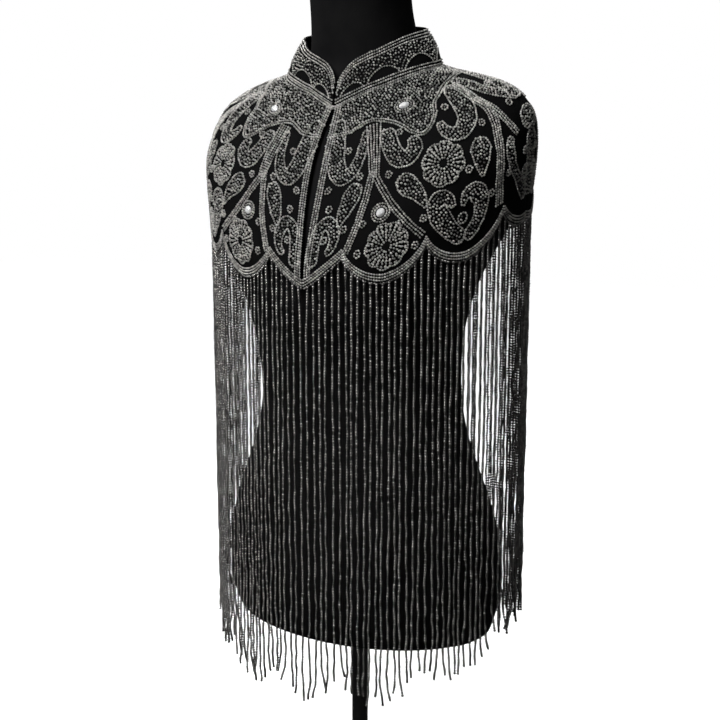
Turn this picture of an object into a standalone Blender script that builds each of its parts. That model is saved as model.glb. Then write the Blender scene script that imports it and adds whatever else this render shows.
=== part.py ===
"""Beaded fringe capelet on a limbless dress form, at real size in metres.

+Z is up, the front faces -Y and the wearer's left is +X. The origin is on the
floor under the middle of the foot. The capelet's yoke is draped over the form:
in every direction round the neck it follows the form down to its widest reach
and hangs straight from there to a scalloped hem with a strand fringe.
"""
import math
import random
from collections import namedtuple

import bmesh
import bpy
import numpy as np
from mathutils import Matrix, Vector

OBJECT_NAME = "fringe_capelet"
SEAM_GAP = 0.0003

# Dress form: level sections about (0, centre_y), roundness 2 an ellipse and less a pinched one
FormSection = namedtuple("FormSection", "height half_width half_depth centre_y roundness")
FORM_SECTIONS = (
    FormSection(0.244, 0.146, 0.094, 0.006, 2.0),
    FormSection(0.251, 0.157, 0.104, 0.006, 2.0),
    FormSection(0.275, 0.165, 0.112, 0.006, 2.0),
    FormSection(0.315, 0.168, 0.115, 0.006, 2.0),
    FormSection(0.380, 0.159, 0.110, 0.006, 2.0),
    FormSection(0.450, 0.132, 0.097, 0.004, 2.0),
    FormSection(0.515, 0.118, 0.088, 0.002, 2.0),
    FormSection(0.570, 0.119, 0.098, -0.003, 2.0),
    FormSection(0.620, 0.128, 0.116, -0.004, 2.0),
    FormSection(0.660, 0.142, 0.123, -0.002, 2.2),
    FormSection(0.700, 0.163, 0.120, 0.004, 2.4),
    FormSection(0.740, 0.179, 0.113, 0.010, 2.4),
    FormSection(0.775, 0.186, 0.102, 0.014, 2.4),
    FormSection(0.800, 0.187, 0.092, 0.019, 2.2),
    FormSection(0.820, 0.184, 0.081, 0.022, 2.0),
    FormSection(0.835, 0.1745, 0.074, 0.024, 1.75),
    FormSection(0.845, 0.161, 0.070, 0.025, 1.5),
    FormSection(0.855, 0.135, 0.067, 0.025, 1.5),
    FormSection(0.864, 0.097, 0.065, 0.024, 1.6),
    FormSection(0.873, 0.075, 0.063, 0.022, 1.8),
    FormSection(0.886, 0.062, 0.060, 0.017, 2.0),
    FormSection(0.902, 0.058, 0.058, 0.012, 2.0),
    FormSection(0.930, 0.0545, 0.056, 0.004, 2.0),
    FormSection(0.972, 0.0545, 0.056, -0.003, 2.0),
    FormSection(0.982, 0.051, 0.053, -0.004, 2.0),
    FormSection(0.985, 0.044, 0.046, -0.004, 2.0),
)
FORM_SIDES = 36
FORM_RING_STEP = 0.036

# Stand: a round pole in sockets of the form and of a weighted round foot
POLE_RADIUS = 0.0095
POLE_SIDES = 24
SOCKET_RADIUS = 0.0100
FORM_SOCKET_DEPTH = 0.070
FootTurn = namedtuple("FootTurn", "radius height")
FOOT_PROFILE = (
    FootTurn(0.0, 0.0),
    FootTurn(0.162, 0.0),
    FootTurn(0.162, 0.005),
    FootTurn(0.159, 0.008),
    FootTurn(0.026, 0.010),
    FootTurn(0.022, 0.013),
    FootTurn(0.022, 0.034),
    FootTurn(SOCKET_RADIUS, 0.034),
    FootTurn(SOCKET_RADIUS, 0.005),
    FootTurn(0.0, 0.005),
)
FOOT_SIDES = 48

# Yoke drape: plumb axis of the drape, neckline heights and cloth
DRAPE_AXIS_Y = 0.022
NECK_FRONT_HEIGHT = 0.826
NECK_BACK_HEIGHT = 0.880
NECK_RISE_POWER = 2.3
FALL_IN = 0.06
CLOTH_EASE = 0.0020
CLOTH_WALL = 0.0016
BORDER_WALL = 0.0024
BORDER_WIDTH = 0.010
REACH_LIMIT = 0.3
REACH_HALVINGS = 22
PROFILE_STEP = 0.0015
PROFILE_DROP = 0.28
YOKE_ROWS = 13
COLUMNS_PER_SCALLOP = 8
CHART_NUDGE = 0.002

# Hem: height of each scallop's tip, the scallops counted from centre front to centre back
SCALLOPS = 12
SHOULDER_SCALLOP = 3
SHOULDER_ANGLE = math.radians(87)
TIP_HEIGHTS = (0.645, 0.653, 0.675, 0.713, 0.702, 0.682, 0.672)
SCALLOP_DROP = 0.027
FRONT_POINT_POWER = 1.2
SEAM_SCALLOP = 0.004
HEM_SAMPLES = 181

# Front opening: half gap at neck, where widest, and at the hem
OPENING_NECK = 0.0010
OPENING_WIDEST = 0.0055
OPENING_HEM = 0.0014
OPENING_WIDEST_AT = 0.40
OPENING_SCALLOP = 0.0001

# Stand-up collar
COLLAR_HEIGHT = 0.0365
COLLAR_WALL = 0.0022
COLLAR_LEAN = 0.018
COLLAR_LEAN_POWER = 1.4
COLLAR_CLEAR = 0.004
COLLAR_CORNER = 0.50
COLLAR_CORNER_LOW = 0.50
COLLAR_CORNER_POWER = 0.42
COLLAR_CORNER_CROWDING = 0.12
COLLAR_COLUMNS = 56
COLLAR_ROWS = 4

# Fringe: strands below each scallop, hung from a narrow backing, longer towards the wearer's right
STRANDS_PER_SCALLOP = 13
STRANDS_PER_POINT = 6
STRAND_WIDTH = 0.0022
STRAND_LENGTH = 0.447
STRAND_SLOPE = 0.04
STRAND_UNEVEN = 0.006
STRAND_SWAY = 0.0014
STRAND_BENDS = (0.35, 1.0)
STRAND_SEED = 11
BACKING_GAP = 0.0007
BACKING_HEIGHT = 0.0024
BACKING_ENDS = 0.006

# Set stones: place in scallops round the hem and as a share of the cut length
StonePlace = namedtuple("StonePlace", "name scallop share half_width half_height rise")
STONES = (
    StonePlace("stone_upper_front", 1.50, 0.205, 0.0056, 0.0040, 0.0028),
    StonePlace("stone_lower_front", 0.98, 0.685, 0.0045, 0.0045, 0.0028),
    StonePlace("stone_upper_back", 4.50, 0.205, 0.0056, 0.0040, 0.0028),
    StonePlace("stone_lower_back", 5.02, 0.685, 0.0045, 0.0045, 0.0028),
)
STONE_SIDES = 10
STONE_RINGS = 6

BLACK_JERSEY = (0.012, 0.012, 0.013)
BLACK_METAL = (0.010, 0.010, 0.010)
BLACK_NET = (0.020, 0.020, 0.021)
GUNMETAL_BEAD = (0.150, 0.148, 0.145)
CLEAR_STONE = (0.600, 0.600, 0.600)


def clear_scene():
    """Remove every object the file starts with."""
    for item in list(bpy.data.objects):
        bpy.data.objects.remove(item, do_unlink=True)


def make_material(name, colour, roughness, metallic=0.0):
    """A plain Principled material."""
    material = bpy.data.materials.new(name)
    material.use_nodes = True
    shader = material.node_tree.nodes["Principled BSDF"]
    shader.inputs["Base Color"].default_value = (*colour, 1.0)
    shader.inputs["Roughness"].default_value = roughness
    shader.inputs["Metallic"].default_value = metallic
    return material


def add_object(name, mesh_data, collection, material):
    """Write a bmesh to a named object with one material."""
    mesh = bpy.data.meshes.new(name)
    mesh_data.to_mesh(mesh)
    mesh_data.free()
    mesh.materials.append(material)
    result = bpy.data.objects.new(name, mesh)
    collection.objects.link(result)
    return result


def section_slopes(heights, values):
    """Slopes of a smooth curve through the values that does not overshoot."""
    rates = np.diff(values) / np.diff(heights)
    slopes = np.zeros(len(values))
    slopes[0] = rates[0]
    slopes[-1] = rates[-1]
    for index in range(1, len(values) - 1):
        before = rates[index - 1]
        after = rates[index]
        if before * after > 0.0:
            slopes[index] = 2.0 * before * after / (before + after)
    return slopes


def read_sections():
    """The form's section heights, and each other column with its slopes."""
    table = np.array(FORM_SECTIONS)
    heights = table[:, 0]
    columns = [(values, section_slopes(heights, values)) for values in table.T[1:]]
    return heights, columns


SECTION_HEIGHTS, SECTION_COLUMNS = read_sections()


def form_section(height):
    """Half width, half depth and centre of the form at one or more heights."""
    index = np.clip(np.searchsorted(SECTION_HEIGHTS, height) - 1, 0, len(SECTION_HEIGHTS) - 2)
    span = SECTION_HEIGHTS[index + 1] - SECTION_HEIGHTS[index]
    t = (height - SECTION_HEIGHTS[index]) / span
    found = []
    for values, slopes in SECTION_COLUMNS:
        start = (2 * t**3 - 3 * t**2 + 1) * values[index]
        start_slope = (t**3 - 2 * t**2 + t) * span * slopes[index]
        end = (3 * t**2 - 2 * t**3) * values[index + 1]
        end_slope = (t**3 - t**2) * span * slopes[index + 1]
        found.append(start + start_slope + end + end_slope)
    return found


def form_reach(angle, heights):
    """How far the form reaches from the drape axis towards an angle from the front."""
    half_width, half_depth, centre_y, roundness = form_section(heights)
    inside = np.zeros(len(heights))
    outside = np.full(len(heights), REACH_LIMIT)
    for halving in range(REACH_HALVINGS):
        middle = (inside + outside) / 2
        across = np.abs(middle * math.sin(angle) / half_width)
        ahead = np.abs((DRAPE_AXIS_Y - middle * math.cos(angle) - centre_y) / half_depth)
        within = across**roundness + ahead**roundness < 1.0
        inside = np.where(within, middle, inside)
        outside = np.where(within, outside, middle)
    return inside


def neck_height(angle):
    """Height of the neckline: lowest at centre front."""
    rise = 1.0 - (1.0 - abs(angle) / math.pi) ** NECK_RISE_POWER
    return NECK_FRONT_HEIGHT + (NECK_BACK_HEIGHT - NECK_FRONT_HEIGHT) * rise


class Drape:
    """The yoke's inner face along one direction from the drape axis."""

    def __init__(self, angle):
        top = neck_height(angle)
        heights = np.arange(top, top - PROFILE_DROP, -PROFILE_STEP)
        reach = form_reach(angle, heights)
        for index in range(1, len(reach)):
            reach[index] = max(reach[index], reach[index - 1] - FALL_IN * PROFILE_STEP)
        run = np.gradient(reach)
        fall = np.gradient(heights)
        length = np.hypot(run, fall)
        self.angle = angle
        self.reach = reach - fall / length * CLOTH_EASE
        self.height = heights + run / length * CLOTH_EASE
        steps = np.hypot(np.diff(self.reach), np.diff(self.height))
        self.distance = np.concatenate(([0.0], np.cumsum(steps)))

    def reach_at(self, distance):
        """Distance from the drape axis of a place this far along the cloth."""
        return np.interp(distance, self.distance, self.reach)

    def distance_to(self, height):
        """How far along the cloth from the neckline this height is met."""
        return np.interp(-height, -self.height, self.distance)

    def level_point(self, height):
        """The place on the cloth at this height."""
        return self.point(self.distance_to(height))

    def point(self, distance):
        """The place this far from the neckline, measured along the cloth."""
        reach = self.reach_at(distance)
        height = np.interp(distance, self.distance, self.height)
        across = reach * math.sin(self.angle)
        return Vector((across, DRAPE_AXIS_Y - reach * math.cos(self.angle), height))


def share_hem():
    """Lookup from scallops round the hem to angles, and one scallop's width."""
    angles = np.linspace(0.0, math.pi, HEM_SAMPLES)
    level = np.interp(angles, (0.0, SHOULDER_ANGLE, math.pi), TIP_HEIGHTS[::SHOULDER_SCALLOP])
    places = [Drape(angle).level_point(height) for angle, height in zip(angles, level)]
    steps = [(after - before).to_2d().length for before, after in zip(places, places[1:])]
    along = np.concatenate(([0.0], np.cumsum(steps)))
    shoulder = np.interp(SHOULDER_ANGLE, angles, along)
    marks = (0.0, shoulder, along[-1])
    scallops = np.interp(along, marks, (0, SHOULDER_SCALLOP, SCALLOPS / 2))
    return scallops, angles, along[-1] * 2 / SCALLOPS


HEM_SCALLOPS, HEM_ANGLES, SCALLOP_WIDTH = share_hem()


def wrap_scallop(scallop):
    """The same place counted from centre front, between half a round either way."""
    return (scallop + SCALLOPS / 2) % SCALLOPS - SCALLOPS / 2


def hem_angle(scallop):
    """Angle from the front of a place counted in scallops round the hem."""
    turn = wrap_scallop(scallop)
    return math.copysign(np.interp(abs(turn), HEM_SCALLOPS, HEM_ANGLES), turn)


def scallop_rise(scallop):
    """How far the hem lies above the scallop tips: round scallops, a point at the front."""
    turn = abs(wrap_scallop(scallop))
    if turn < 0.5:
        return SCALLOP_DROP * (turn / 0.5) ** FRONT_POINT_POWER
    chord = SCALLOP_WIDTH / 2
    radius = (chord**2 + SCALLOP_DROP**2) / (2 * SCALLOP_DROP)
    away = (turn - round(turn)) * SCALLOP_WIDTH
    return radius - math.sqrt(radius**2 - away**2)


def hem_cut(scallop):
    """Cut length from the neckline to the scalloped edge."""
    turn = abs(wrap_scallop(scallop))
    tip = np.interp(turn, range(len(TIP_HEIGHTS)), TIP_HEIGHTS)
    return Drape(hem_angle(turn)).distance_to(tip + scallop_rise(turn))


def opening_half(share):
    """Half the front opening at a share of the way from neck to hem."""
    if share < OPENING_WIDEST_AT:
        wave = math.sin(share / OPENING_WIDEST_AT * math.pi / 2)
        return OPENING_NECK + (OPENING_WIDEST - OPENING_NECK) * wave
    wave = math.sin((1.0 - share) / (1.0 - OPENING_WIDEST_AT) * math.pi / 2) ** 2
    return OPENING_HEM + (OPENING_WIDEST - OPENING_HEM) * wave


def cloth_place(scallop, distance):
    """Point on the yoke's inner face, kept clear of the front opening."""
    turn = wrap_scallop(scallop)
    angle = hem_angle(turn)
    if abs(turn) < 1.0:
        share = min(distance / hem_cut(turn), 1.0)
        shift = math.asin(opening_half(share) / Drape(angle).reach_at(distance))
        angle += math.copysign(shift, turn) * (1.0 - abs(turn))
    return Drape(angle).point(distance)


def cloth_frame(scallop, distance):
    """Point on the inner face with the directions across the cloth and out of it."""
    step = CHART_NUDGE / SCALLOP_WIDTH
    across = cloth_place(scallop + step, distance) - cloth_place(scallop - step, distance)
    above = max(distance - CHART_NUDGE, 0.0)
    down = cloth_place(scallop, distance + CHART_NUDGE) - cloth_place(scallop, above)
    across.normalize()
    out = down.cross(across).normalized()
    return cloth_place(scallop, distance), across, out


def map_grid(places):
    """Open surface: a grid laid onto rows of places, faces turned outward."""
    rows = len(places)
    columns = len(places[0])
    sheet = bmesh.new()
    bmesh.ops.create_grid(sheet, x_segments=columns - 1, y_segments=rows - 1, size=1.0)
    row_mark = sheet.verts.layers.int.new("row")
    column_mark = sheet.verts.layers.int.new("column")
    for vertex in sheet.verts:
        column = round((vertex.co.x + 1.0) / 2.0 * (columns - 1))
        row = rows - 1 - round((vertex.co.y + 1.0) / 2.0 * (rows - 1))
        vertex[row_mark] = row
        vertex[column_mark] = column
        vertex.co = places[row][column]
    sheet.normal_update()
    return sheet


def add_shell(name, places, collection, material, wall):
    """Cloth wall: an open surface given its thickness by Solidify."""
    result = add_object(name, map_grid(places), collection, material)
    thicken = result.modifiers.new("cloth wall", "SOLIDIFY")
    thicken.thickness = wall
    thicken.offset = 1.0
    return result, thicken


def add_yoke_panel(name, start, end, collection, material):
    """One panel between two places counted in scallops, thicker along its hem border."""
    columns = round((end - start) * COLUMNS_PER_SCALLOP)
    turns = [start + (end - start) * column / columns for column in range(columns + 1)]
    shares = [row / (YOKE_ROWS - 2) for row in range(YOKE_ROWS - 1)]
    table = []
    for share in shares:
        table.append([cloth_place(turn, (hem_cut(turn) - BORDER_WIDTH) * share) for turn in turns])
    table.append([cloth_place(turn, hem_cut(turn)) for turn in turns])
    panel, thicken = add_shell(name, table, collection, material, BORDER_WALL)
    border = panel.vertex_groups.new(name="border")
    thicken.vertex_group = border.name
    thicken.thickness_vertex_group = CLOTH_WALL / BORDER_WALL
    rows = panel.data.attributes["row"].data
    border.add([index for index, row in enumerate(rows) if row.value == YOKE_ROWS - 1], 1.0, "REPLACE")


def add_yoke(collection, material):
    """Two fronts and a back, parted at the opening and the shoulder seams."""
    before_seam = SHOULDER_SCALLOP - SEAM_SCALLOP
    after_seam = SHOULDER_SCALLOP + SEAM_SCALLOP
    add_yoke_panel("yoke_front_left", OPENING_SCALLOP, before_seam, collection, material)
    add_yoke_panel("yoke_front_right", -before_seam, -OPENING_SCALLOP, collection, material)
    add_yoke_panel("yoke_back", after_seam, SCALLOPS - after_seam, collection, material)


def collar_height(turn):
    """Height of the collar: full all round, falling in a rounded corner at the front."""
    near = min(abs(wrap_scallop(turn)) / COLLAR_CORNER, 1.0)
    corner = math.sin(near * math.pi / 2) ** COLLAR_CORNER_POWER
    return COLLAR_HEIGHT * (COLLAR_CORNER_LOW + (1.0 - COLLAR_CORNER_LOW) * corner)


def collar_lean(foot, angle):
    """How far the collar's top leans in, kept clear of the neck."""
    neck = form_reach(angle, np.array([foot.z + COLLAR_HEIGHT]))[0]
    reach = math.hypot(foot.x, foot.y - DRAPE_AXIS_Y)
    return min(COLLAR_LEAN, reach - neck - COLLAR_CLEAR)


def add_collar(collection, material):
    """Stand-up band: its foot lies on the neckline, its top leans in."""
    table = [[] for row in range(COLLAR_ROWS)]
    for column in range(COLLAR_COLUMNS + 1):
        along = column / COLLAR_COLUMNS
        along -= COLLAR_CORNER_CROWDING * math.sin(2 * math.pi * along)
        turn = OPENING_SCALLOP + (SCALLOPS - 2 * OPENING_SCALLOP) * along
        place, across, out = cloth_frame(turn, 0.0)
        foot = place + out * (CLOTH_WALL + SEAM_GAP)
        inward = Vector((-foot.x, DRAPE_AXIS_Y - foot.y, 0.0)).normalized()
        rise = collar_height(turn)
        full_lean = collar_lean(foot, hem_angle(turn))
        for row in range(COLLAR_ROWS):
            height = rise * (1.0 - row / (COLLAR_ROWS - 1))
            lean = full_lean * (height / COLLAR_HEIGHT) ** COLLAR_LEAN_POWER
            table[row].append(foot + Vector((0.0, 0.0, height)) + inward * lean)
    add_shell("collar", table, collection, material, COLLAR_WALL)


def add_fringe(name, start, end, strands, collection, material, chance):
    """A narrow backing under the hem, its strands drawn down from its lower edge."""
    half = STRAND_WIDTH / 2 / SCALLOP_WIDTH
    turns = [start]
    for strand in range(strands):
        middle = start + (end - start) * (strand + 0.5) / strands
        turns += [middle - half, middle + half]
    turns.append(end)
    table = []
    for drop in (BACKING_GAP, BACKING_GAP + BACKING_HEIGHT):
        table.append([cloth_place(turn, hem_cut(turn) + drop) for turn in turns])
    strip = map_grid(table)
    row_mark = strip.verts.layers.int["row"]
    column_mark = strip.verts.layers.int["column"]
    outer_mark = strip.verts.layers.int.new("outer")
    grown = bmesh.ops.extrude_face_region(strip, geom=strip.faces[:], use_keep_orig=True)
    for vertex in grown["geom"]:
        if isinstance(vertex, bmesh.types.BMVert):
            vertex[outer_mark] = 1
            vertex.co += vertex.normal * CLOTH_WALL
    bmesh.ops.recalc_face_normals(strip, faces=strip.faces[:])
    roots = {}
    for face in strip.faces:
        columns = sorted(vertex[column_mark] for vertex in face.verts)
        if all(vertex[row_mark] == 1 for vertex in face.verts) and columns[0] % 2 == 1:
            roots[columns[0]] = face
    for column in sorted(roots):
        draw_strand(strip, roots[column], column_mark, outer_mark, chance)
    return add_object(name, strip, collection, material)


def draw_strand(strip, root, column_mark, outer_mark, chance):
    """Extrude one root face down to a plumb strand with a slight sway and a loose end."""
    top = root.calc_center_median()
    across = Vector((0.0, 0.0, 0.0))
    for vertex in root.verts:
        across += vertex.co * (1 if vertex[column_mark] % 2 == 0 else -1)
    across.z = 0.0
    across.normalize()
    out = Vector((across.y, -across.x, 0.0))
    length = STRAND_LENGTH - STRAND_SLOPE * top.x + chance.uniform(-STRAND_UNEVEN, STRAND_UNEVEN)
    face = root
    for share in STRAND_BENDS:
        sway = across * chance.uniform(-STRAND_SWAY, STRAND_SWAY)
        middle = top + sway - Vector((0.0, 0.0, length * share))
        face = bmesh.ops.extrude_discrete_faces(strip, faces=[face])["faces"][0]
        for vertex in face.verts:
            side = 0.5 if vertex[column_mark] % 2 == 0 else -0.5
            front = 0.5 if vertex[outer_mark] else -0.5
            vertex.co = middle + (across * side + out * front) * STRAND_WIDTH


def add_fringes(collection, material):
    """A fringe for each scallop, and half ones either side of the opening."""
    chance = random.Random(STRAND_SEED)
    point = 0.5 - BACKING_ENDS
    near = BACKING_ENDS
    add_fringe("fringe_front_left", near, point, STRANDS_PER_POINT, collection, material, chance)
    add_fringe("fringe_front_right", -point, -near, STRANDS_PER_POINT, collection, material, chance)
    for scallop in range(1, SCALLOPS):
        name = "fringe_back"
        if scallop < SCALLOPS / 2:
            name = f"fringe_left_{scallop}"
        elif scallop > SCALLOPS / 2:
            name = f"fringe_right_{SCALLOPS - scallop}"
        start = scallop - point
        add_fringe(name, start, scallop + point, STRANDS_PER_SCALLOP, collection, material, chance)


def add_stone(name, turn, stone, collection, material):
    """A low oval dome with a flat back, set just off the cloth."""
    place, across, out = cloth_frame(turn, hem_cut(turn) * stone.share)
    gem = bmesh.new()
    bmesh.ops.create_uvsphere(gem, u_segments=STONE_SIDES, v_segments=STONE_RINGS, radius=1.0)
    level = [vertex for vertex in gem.verts if vertex.co.z < 0.0]
    bmesh.ops.delete(gem, geom=level, context="VERTS")
    rim = [edge for edge in gem.edges if edge.is_boundary]
    bmesh.ops.edgeloop_fill(gem, edges=rim)
    foot = place + out * (CLOTH_WALL + SEAM_GAP)
    turned = Matrix((across, out.cross(across), out)).transposed()
    size = Vector((stone.half_width, stone.half_height, stone.rise))
    for vertex in gem.verts:
        vertex.co = foot + turned @ (vertex.co * size)
    bmesh.ops.recalc_face_normals(gem, faces=gem.faces[:])
    add_object(name, gem, collection, material)


def add_stones(collection, material):
    """Every stone on the wearer's left and its mirror on the right."""
    for stone in STONES:
        add_stone(f"{stone.name}_left", stone.scallop, stone, collection, material)
        add_stone(f"{stone.name}_right", -stone.scallop, stone, collection, material)


def form_heights():
    """Section heights with more put in between where they lie far apart."""
    heights = [FORM_SECTIONS[0].height]
    for section in FORM_SECTIONS[1:]:
        start = heights[-1]
        pieces = math.ceil((section.height - start) / FORM_RING_STEP)
        heights += [start + (section.height - start) * (piece + 1) / pieces for piece in range(pieces)]
    return heights


def level_ring(half_width, half_depth, centre_y, roundness, height):
    """Points of a level section."""
    ring = []
    for side in range(FORM_SIDES):
        angle = 2 * math.pi * side / FORM_SIDES
        across = math.copysign(abs(math.cos(angle)) ** (2 / roundness), math.cos(angle))
        ahead = math.copysign(abs(math.sin(angle)) ** (2 / roundness), math.sin(angle))
        ring.append((half_width * across, centre_y + half_depth * ahead, height))
    return ring


def add_form(collection, material):
    """Torso and neck: a loft through its sections, with the pole's socket in its underside."""
    bottom = FORM_SECTIONS[0].height
    socket_top = bottom + FORM_SOCKET_DEPTH
    rings = []
    for height in (socket_top, bottom):
        rings.append(level_ring(SOCKET_RADIUS, SOCKET_RADIUS, 0.0, 2.0, height))
    for height in form_heights():
        rings.append(level_ring(*form_section(height), height))
    body = bmesh.new()
    loops = [[body.verts.new(place) for place in ring] for ring in rings]
    for lower, upper in zip(loops, loops[1:]):
        for side in range(FORM_SIDES):
            following = (side + 1) % FORM_SIDES
            body.faces.new((lower[side], lower[following], upper[following], upper[side]))
    body.faces.new(loops[0])
    body.faces.new(loops[-1])
    bmesh.ops.recalc_face_normals(body, faces=body.faces[:])
    add_object("form_body", body, collection, material)


def add_pole(collection, material):
    """Round pole between the two sockets."""
    low = FOOT_PROFILE[-1].height + SEAM_GAP
    high = FORM_SECTIONS[0].height + FORM_SOCKET_DEPTH - SEAM_GAP
    pole = bmesh.new()
    middle = Matrix.Translation((0.0, 0.0, (low + high) / 2))
    bmesh.ops.create_cone(
        pole,
        cap_ends=True,
        segments=POLE_SIDES,
        radius1=POLE_RADIUS,
        radius2=POLE_RADIUS,
        depth=high - low,
        matrix=middle,
    )
    add_object("stand_pole", pole, collection, material)


def add_foot(collection, material):
    """Weighted foot: its half section turned about the pole by Screw."""
    outline = bmesh.new()
    corners = [outline.verts.new((turn.radius, 0.0, turn.height)) for turn in FOOT_PROFILE]
    for before, after in zip(corners, corners[1:]):
        outline.edges.new((before, after))
    foot = add_object("stand_base", outline, collection, material)
    turn = foot.modifiers.new("turned", "SCREW")
    turn.steps = FOOT_SIDES
    turn.render_steps = FOOT_SIDES
    turn.use_merge_vertices = True
    turn.merge_threshold = 0.00001
    turn.use_normal_calculate = True


def main():
    """Build every piece of the capelet and of the form it rests on."""
    clear_scene()
    parts = bpy.data.collections.new(OBJECT_NAME)
    bpy.context.scene.collection.children.link(parts)
    jersey = make_material("black_jersey", BLACK_JERSEY, 0.6)
    metal = make_material("black_metal", BLACK_METAL, 0.4)
    net = make_material("black_net", BLACK_NET, 0.8)
    bead = make_material("gunmetal_bead", GUNMETAL_BEAD, 0.3, metallic=0.6)
    stone = make_material("clear_stone", CLEAR_STONE, 0.1)
    add_form(parts, jersey)
    add_pole(parts, metal)
    add_foot(parts, metal)
    add_yoke(parts, net)
    add_collar(parts, net)
    add_fringes(parts, bead)
    add_stones(parts, stone)


main()
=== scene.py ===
# %% [markdown]
# # A beaded fringe capelet on its dress form
# The capelet is a short yoke of black net, worked all over with silver beads,
# with a stand-up collar and a long fringe of beaded strings. It rests on a plain
# black dress form. This lesson loads the plain solids of the part as a fixed
# frame and dresses each one: the cloth becomes a thin shell, the beading is laid
# on it bead by bead, and every surface gets a finish of its own.

# %% Load the frame
import math
import random
from collections import namedtuple

import bmesh
import bpy
import numpy as np
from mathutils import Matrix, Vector, kdtree


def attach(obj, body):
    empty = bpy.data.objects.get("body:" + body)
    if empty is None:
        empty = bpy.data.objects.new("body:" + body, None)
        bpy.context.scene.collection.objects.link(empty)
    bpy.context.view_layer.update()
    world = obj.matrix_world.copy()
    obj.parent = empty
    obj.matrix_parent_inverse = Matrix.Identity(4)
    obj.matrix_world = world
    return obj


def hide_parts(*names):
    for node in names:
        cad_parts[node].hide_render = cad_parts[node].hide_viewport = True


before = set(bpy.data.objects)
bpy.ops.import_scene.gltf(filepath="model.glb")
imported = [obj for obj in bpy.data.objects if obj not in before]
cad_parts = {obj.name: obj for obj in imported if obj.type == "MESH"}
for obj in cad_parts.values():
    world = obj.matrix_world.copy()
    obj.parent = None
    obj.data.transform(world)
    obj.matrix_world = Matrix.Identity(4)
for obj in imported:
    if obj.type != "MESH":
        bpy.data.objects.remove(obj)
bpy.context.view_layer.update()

print("solids in the frame:", len(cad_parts))

# %% [markdown]
# ## A chart of the draped cloth
# Beads follow the cloth, so the lesson needs a chart of it: a rule that turns two
# numbers, how far round the hem and how far down from the neckline, into a point
# in space. It could be found by casting rays at the solids, but the cloth was cut
# by a rule, and repeating that rule gives smooth points and true distances. In
# each direction round the neck the cloth follows the form out to its widest reach
# and falls almost straight from there. Places round the hem are counted in
# scallops from centre front, positive towards the wearer's left.

# %% Sizes of the form and of the drape
MM = 0.001
FormSection = namedtuple("FormSection", "height half_width half_depth centre_y roundness")
FORM_SECTIONS = np.array((
    FormSection(0.570, 0.119, 0.098, -0.003, 2.0),
    FormSection(0.620, 0.128, 0.116, -0.004, 2.0),
    FormSection(0.660, 0.142, 0.123, -0.002, 2.2),
    FormSection(0.700, 0.163, 0.120, 0.004, 2.4),
    FormSection(0.740, 0.179, 0.113, 0.010, 2.4),
    FormSection(0.775, 0.186, 0.102, 0.014, 2.4),
    FormSection(0.800, 0.187, 0.092, 0.019, 2.2),
    FormSection(0.820, 0.184, 0.081, 0.022, 2.0),
    FormSection(0.835, 0.1745, 0.074, 0.024, 1.75),
    FormSection(0.845, 0.161, 0.070, 0.025, 1.5),
    FormSection(0.855, 0.135, 0.067, 0.025, 1.5),
    FormSection(0.864, 0.097, 0.065, 0.024, 1.6),
    FormSection(0.873, 0.075, 0.063, 0.022, 1.8),
    FormSection(0.886, 0.062, 0.060, 0.017, 2.0),
    FormSection(0.902, 0.058, 0.058, 0.012, 2.0),
    FormSection(0.930, 0.0545, 0.056, 0.004, 2.0),
    FormSection(0.972, 0.0545, 0.056, -0.003, 2.0),
))
DRAPE_AXIS_Y = 0.022
NECK_FRONT_HEIGHT = 0.826
NECK_BACK_HEIGHT = 0.880
NECK_RISE_POWER = 2.3
FALL_IN = 0.06
CLOTH_EASE = 0.0020
CLOTH_WALL = 0.0016
SEAM_GAP = 0.0003
PROFILE_STEP = 0.0015
PROFILE_DROP = 0.225
DISTANCE_STEP = 0.001
DISTANCE_END = 0.245
ANGLE_STEPS = 720
REACH_LIMIT = 0.3
REACH_HALVINGS = 22


def smooth_slopes(heights, values):
    """Slopes of a smooth curve through the values that does not overshoot."""
    rates = np.diff(values) / np.diff(heights)
    before = rates[:-1]
    after = rates[1:]
    same_way = before * after > 0.0
    total = np.where(same_way, before + after, 1.0)
    inner = np.where(same_way, 2.0 * before * after / total, 0.0)
    return np.concatenate((rates[:1], inner, rates[-1:]))


def form_section(heights):
    """Half width, half depth, centre and roundness of the form at these heights."""
    rows = FORM_SECTIONS[:, 0]
    index = np.clip(np.searchsorted(rows, heights) - 1, 0, len(rows) - 2)
    span = rows[index + 1] - rows[index]
    share = (heights - rows[index]) / span
    found = []
    for values in FORM_SECTIONS.T[1:]:
        slopes = smooth_slopes(rows, values)
        start = (2 * share**3 - 3 * share**2 + 1) * values[index]
        start_slope = (share**3 - 2 * share**2 + share) * span * slopes[index]
        end = (3 * share**2 - 2 * share**3) * values[index + 1]
        end_slope = (share**3 - share**2) * span * slopes[index + 1]
        found.append(start + start_slope + end + end_slope)
    return found


def form_reach(angles, heights):
    """How far the form reaches from the drape axis, by halving the interval."""
    half_width, half_depth, centre_y, roundness = form_section(heights)
    inside = np.zeros(heights.shape)
    outside = np.full(heights.shape, REACH_LIMIT)
    for halving in range(REACH_HALVINGS):
        middle = (inside + outside) / 2
        across = np.abs(middle * np.sin(angles) / half_width)
        ahead = np.abs((DRAPE_AXIS_Y - middle * np.cos(angles) - centre_y) / half_depth)
        within = across**roundness + ahead**roundness < 1.0
        inside = np.where(within, middle, inside)
        outside = np.where(within, outside, middle)
    return inside


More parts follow.
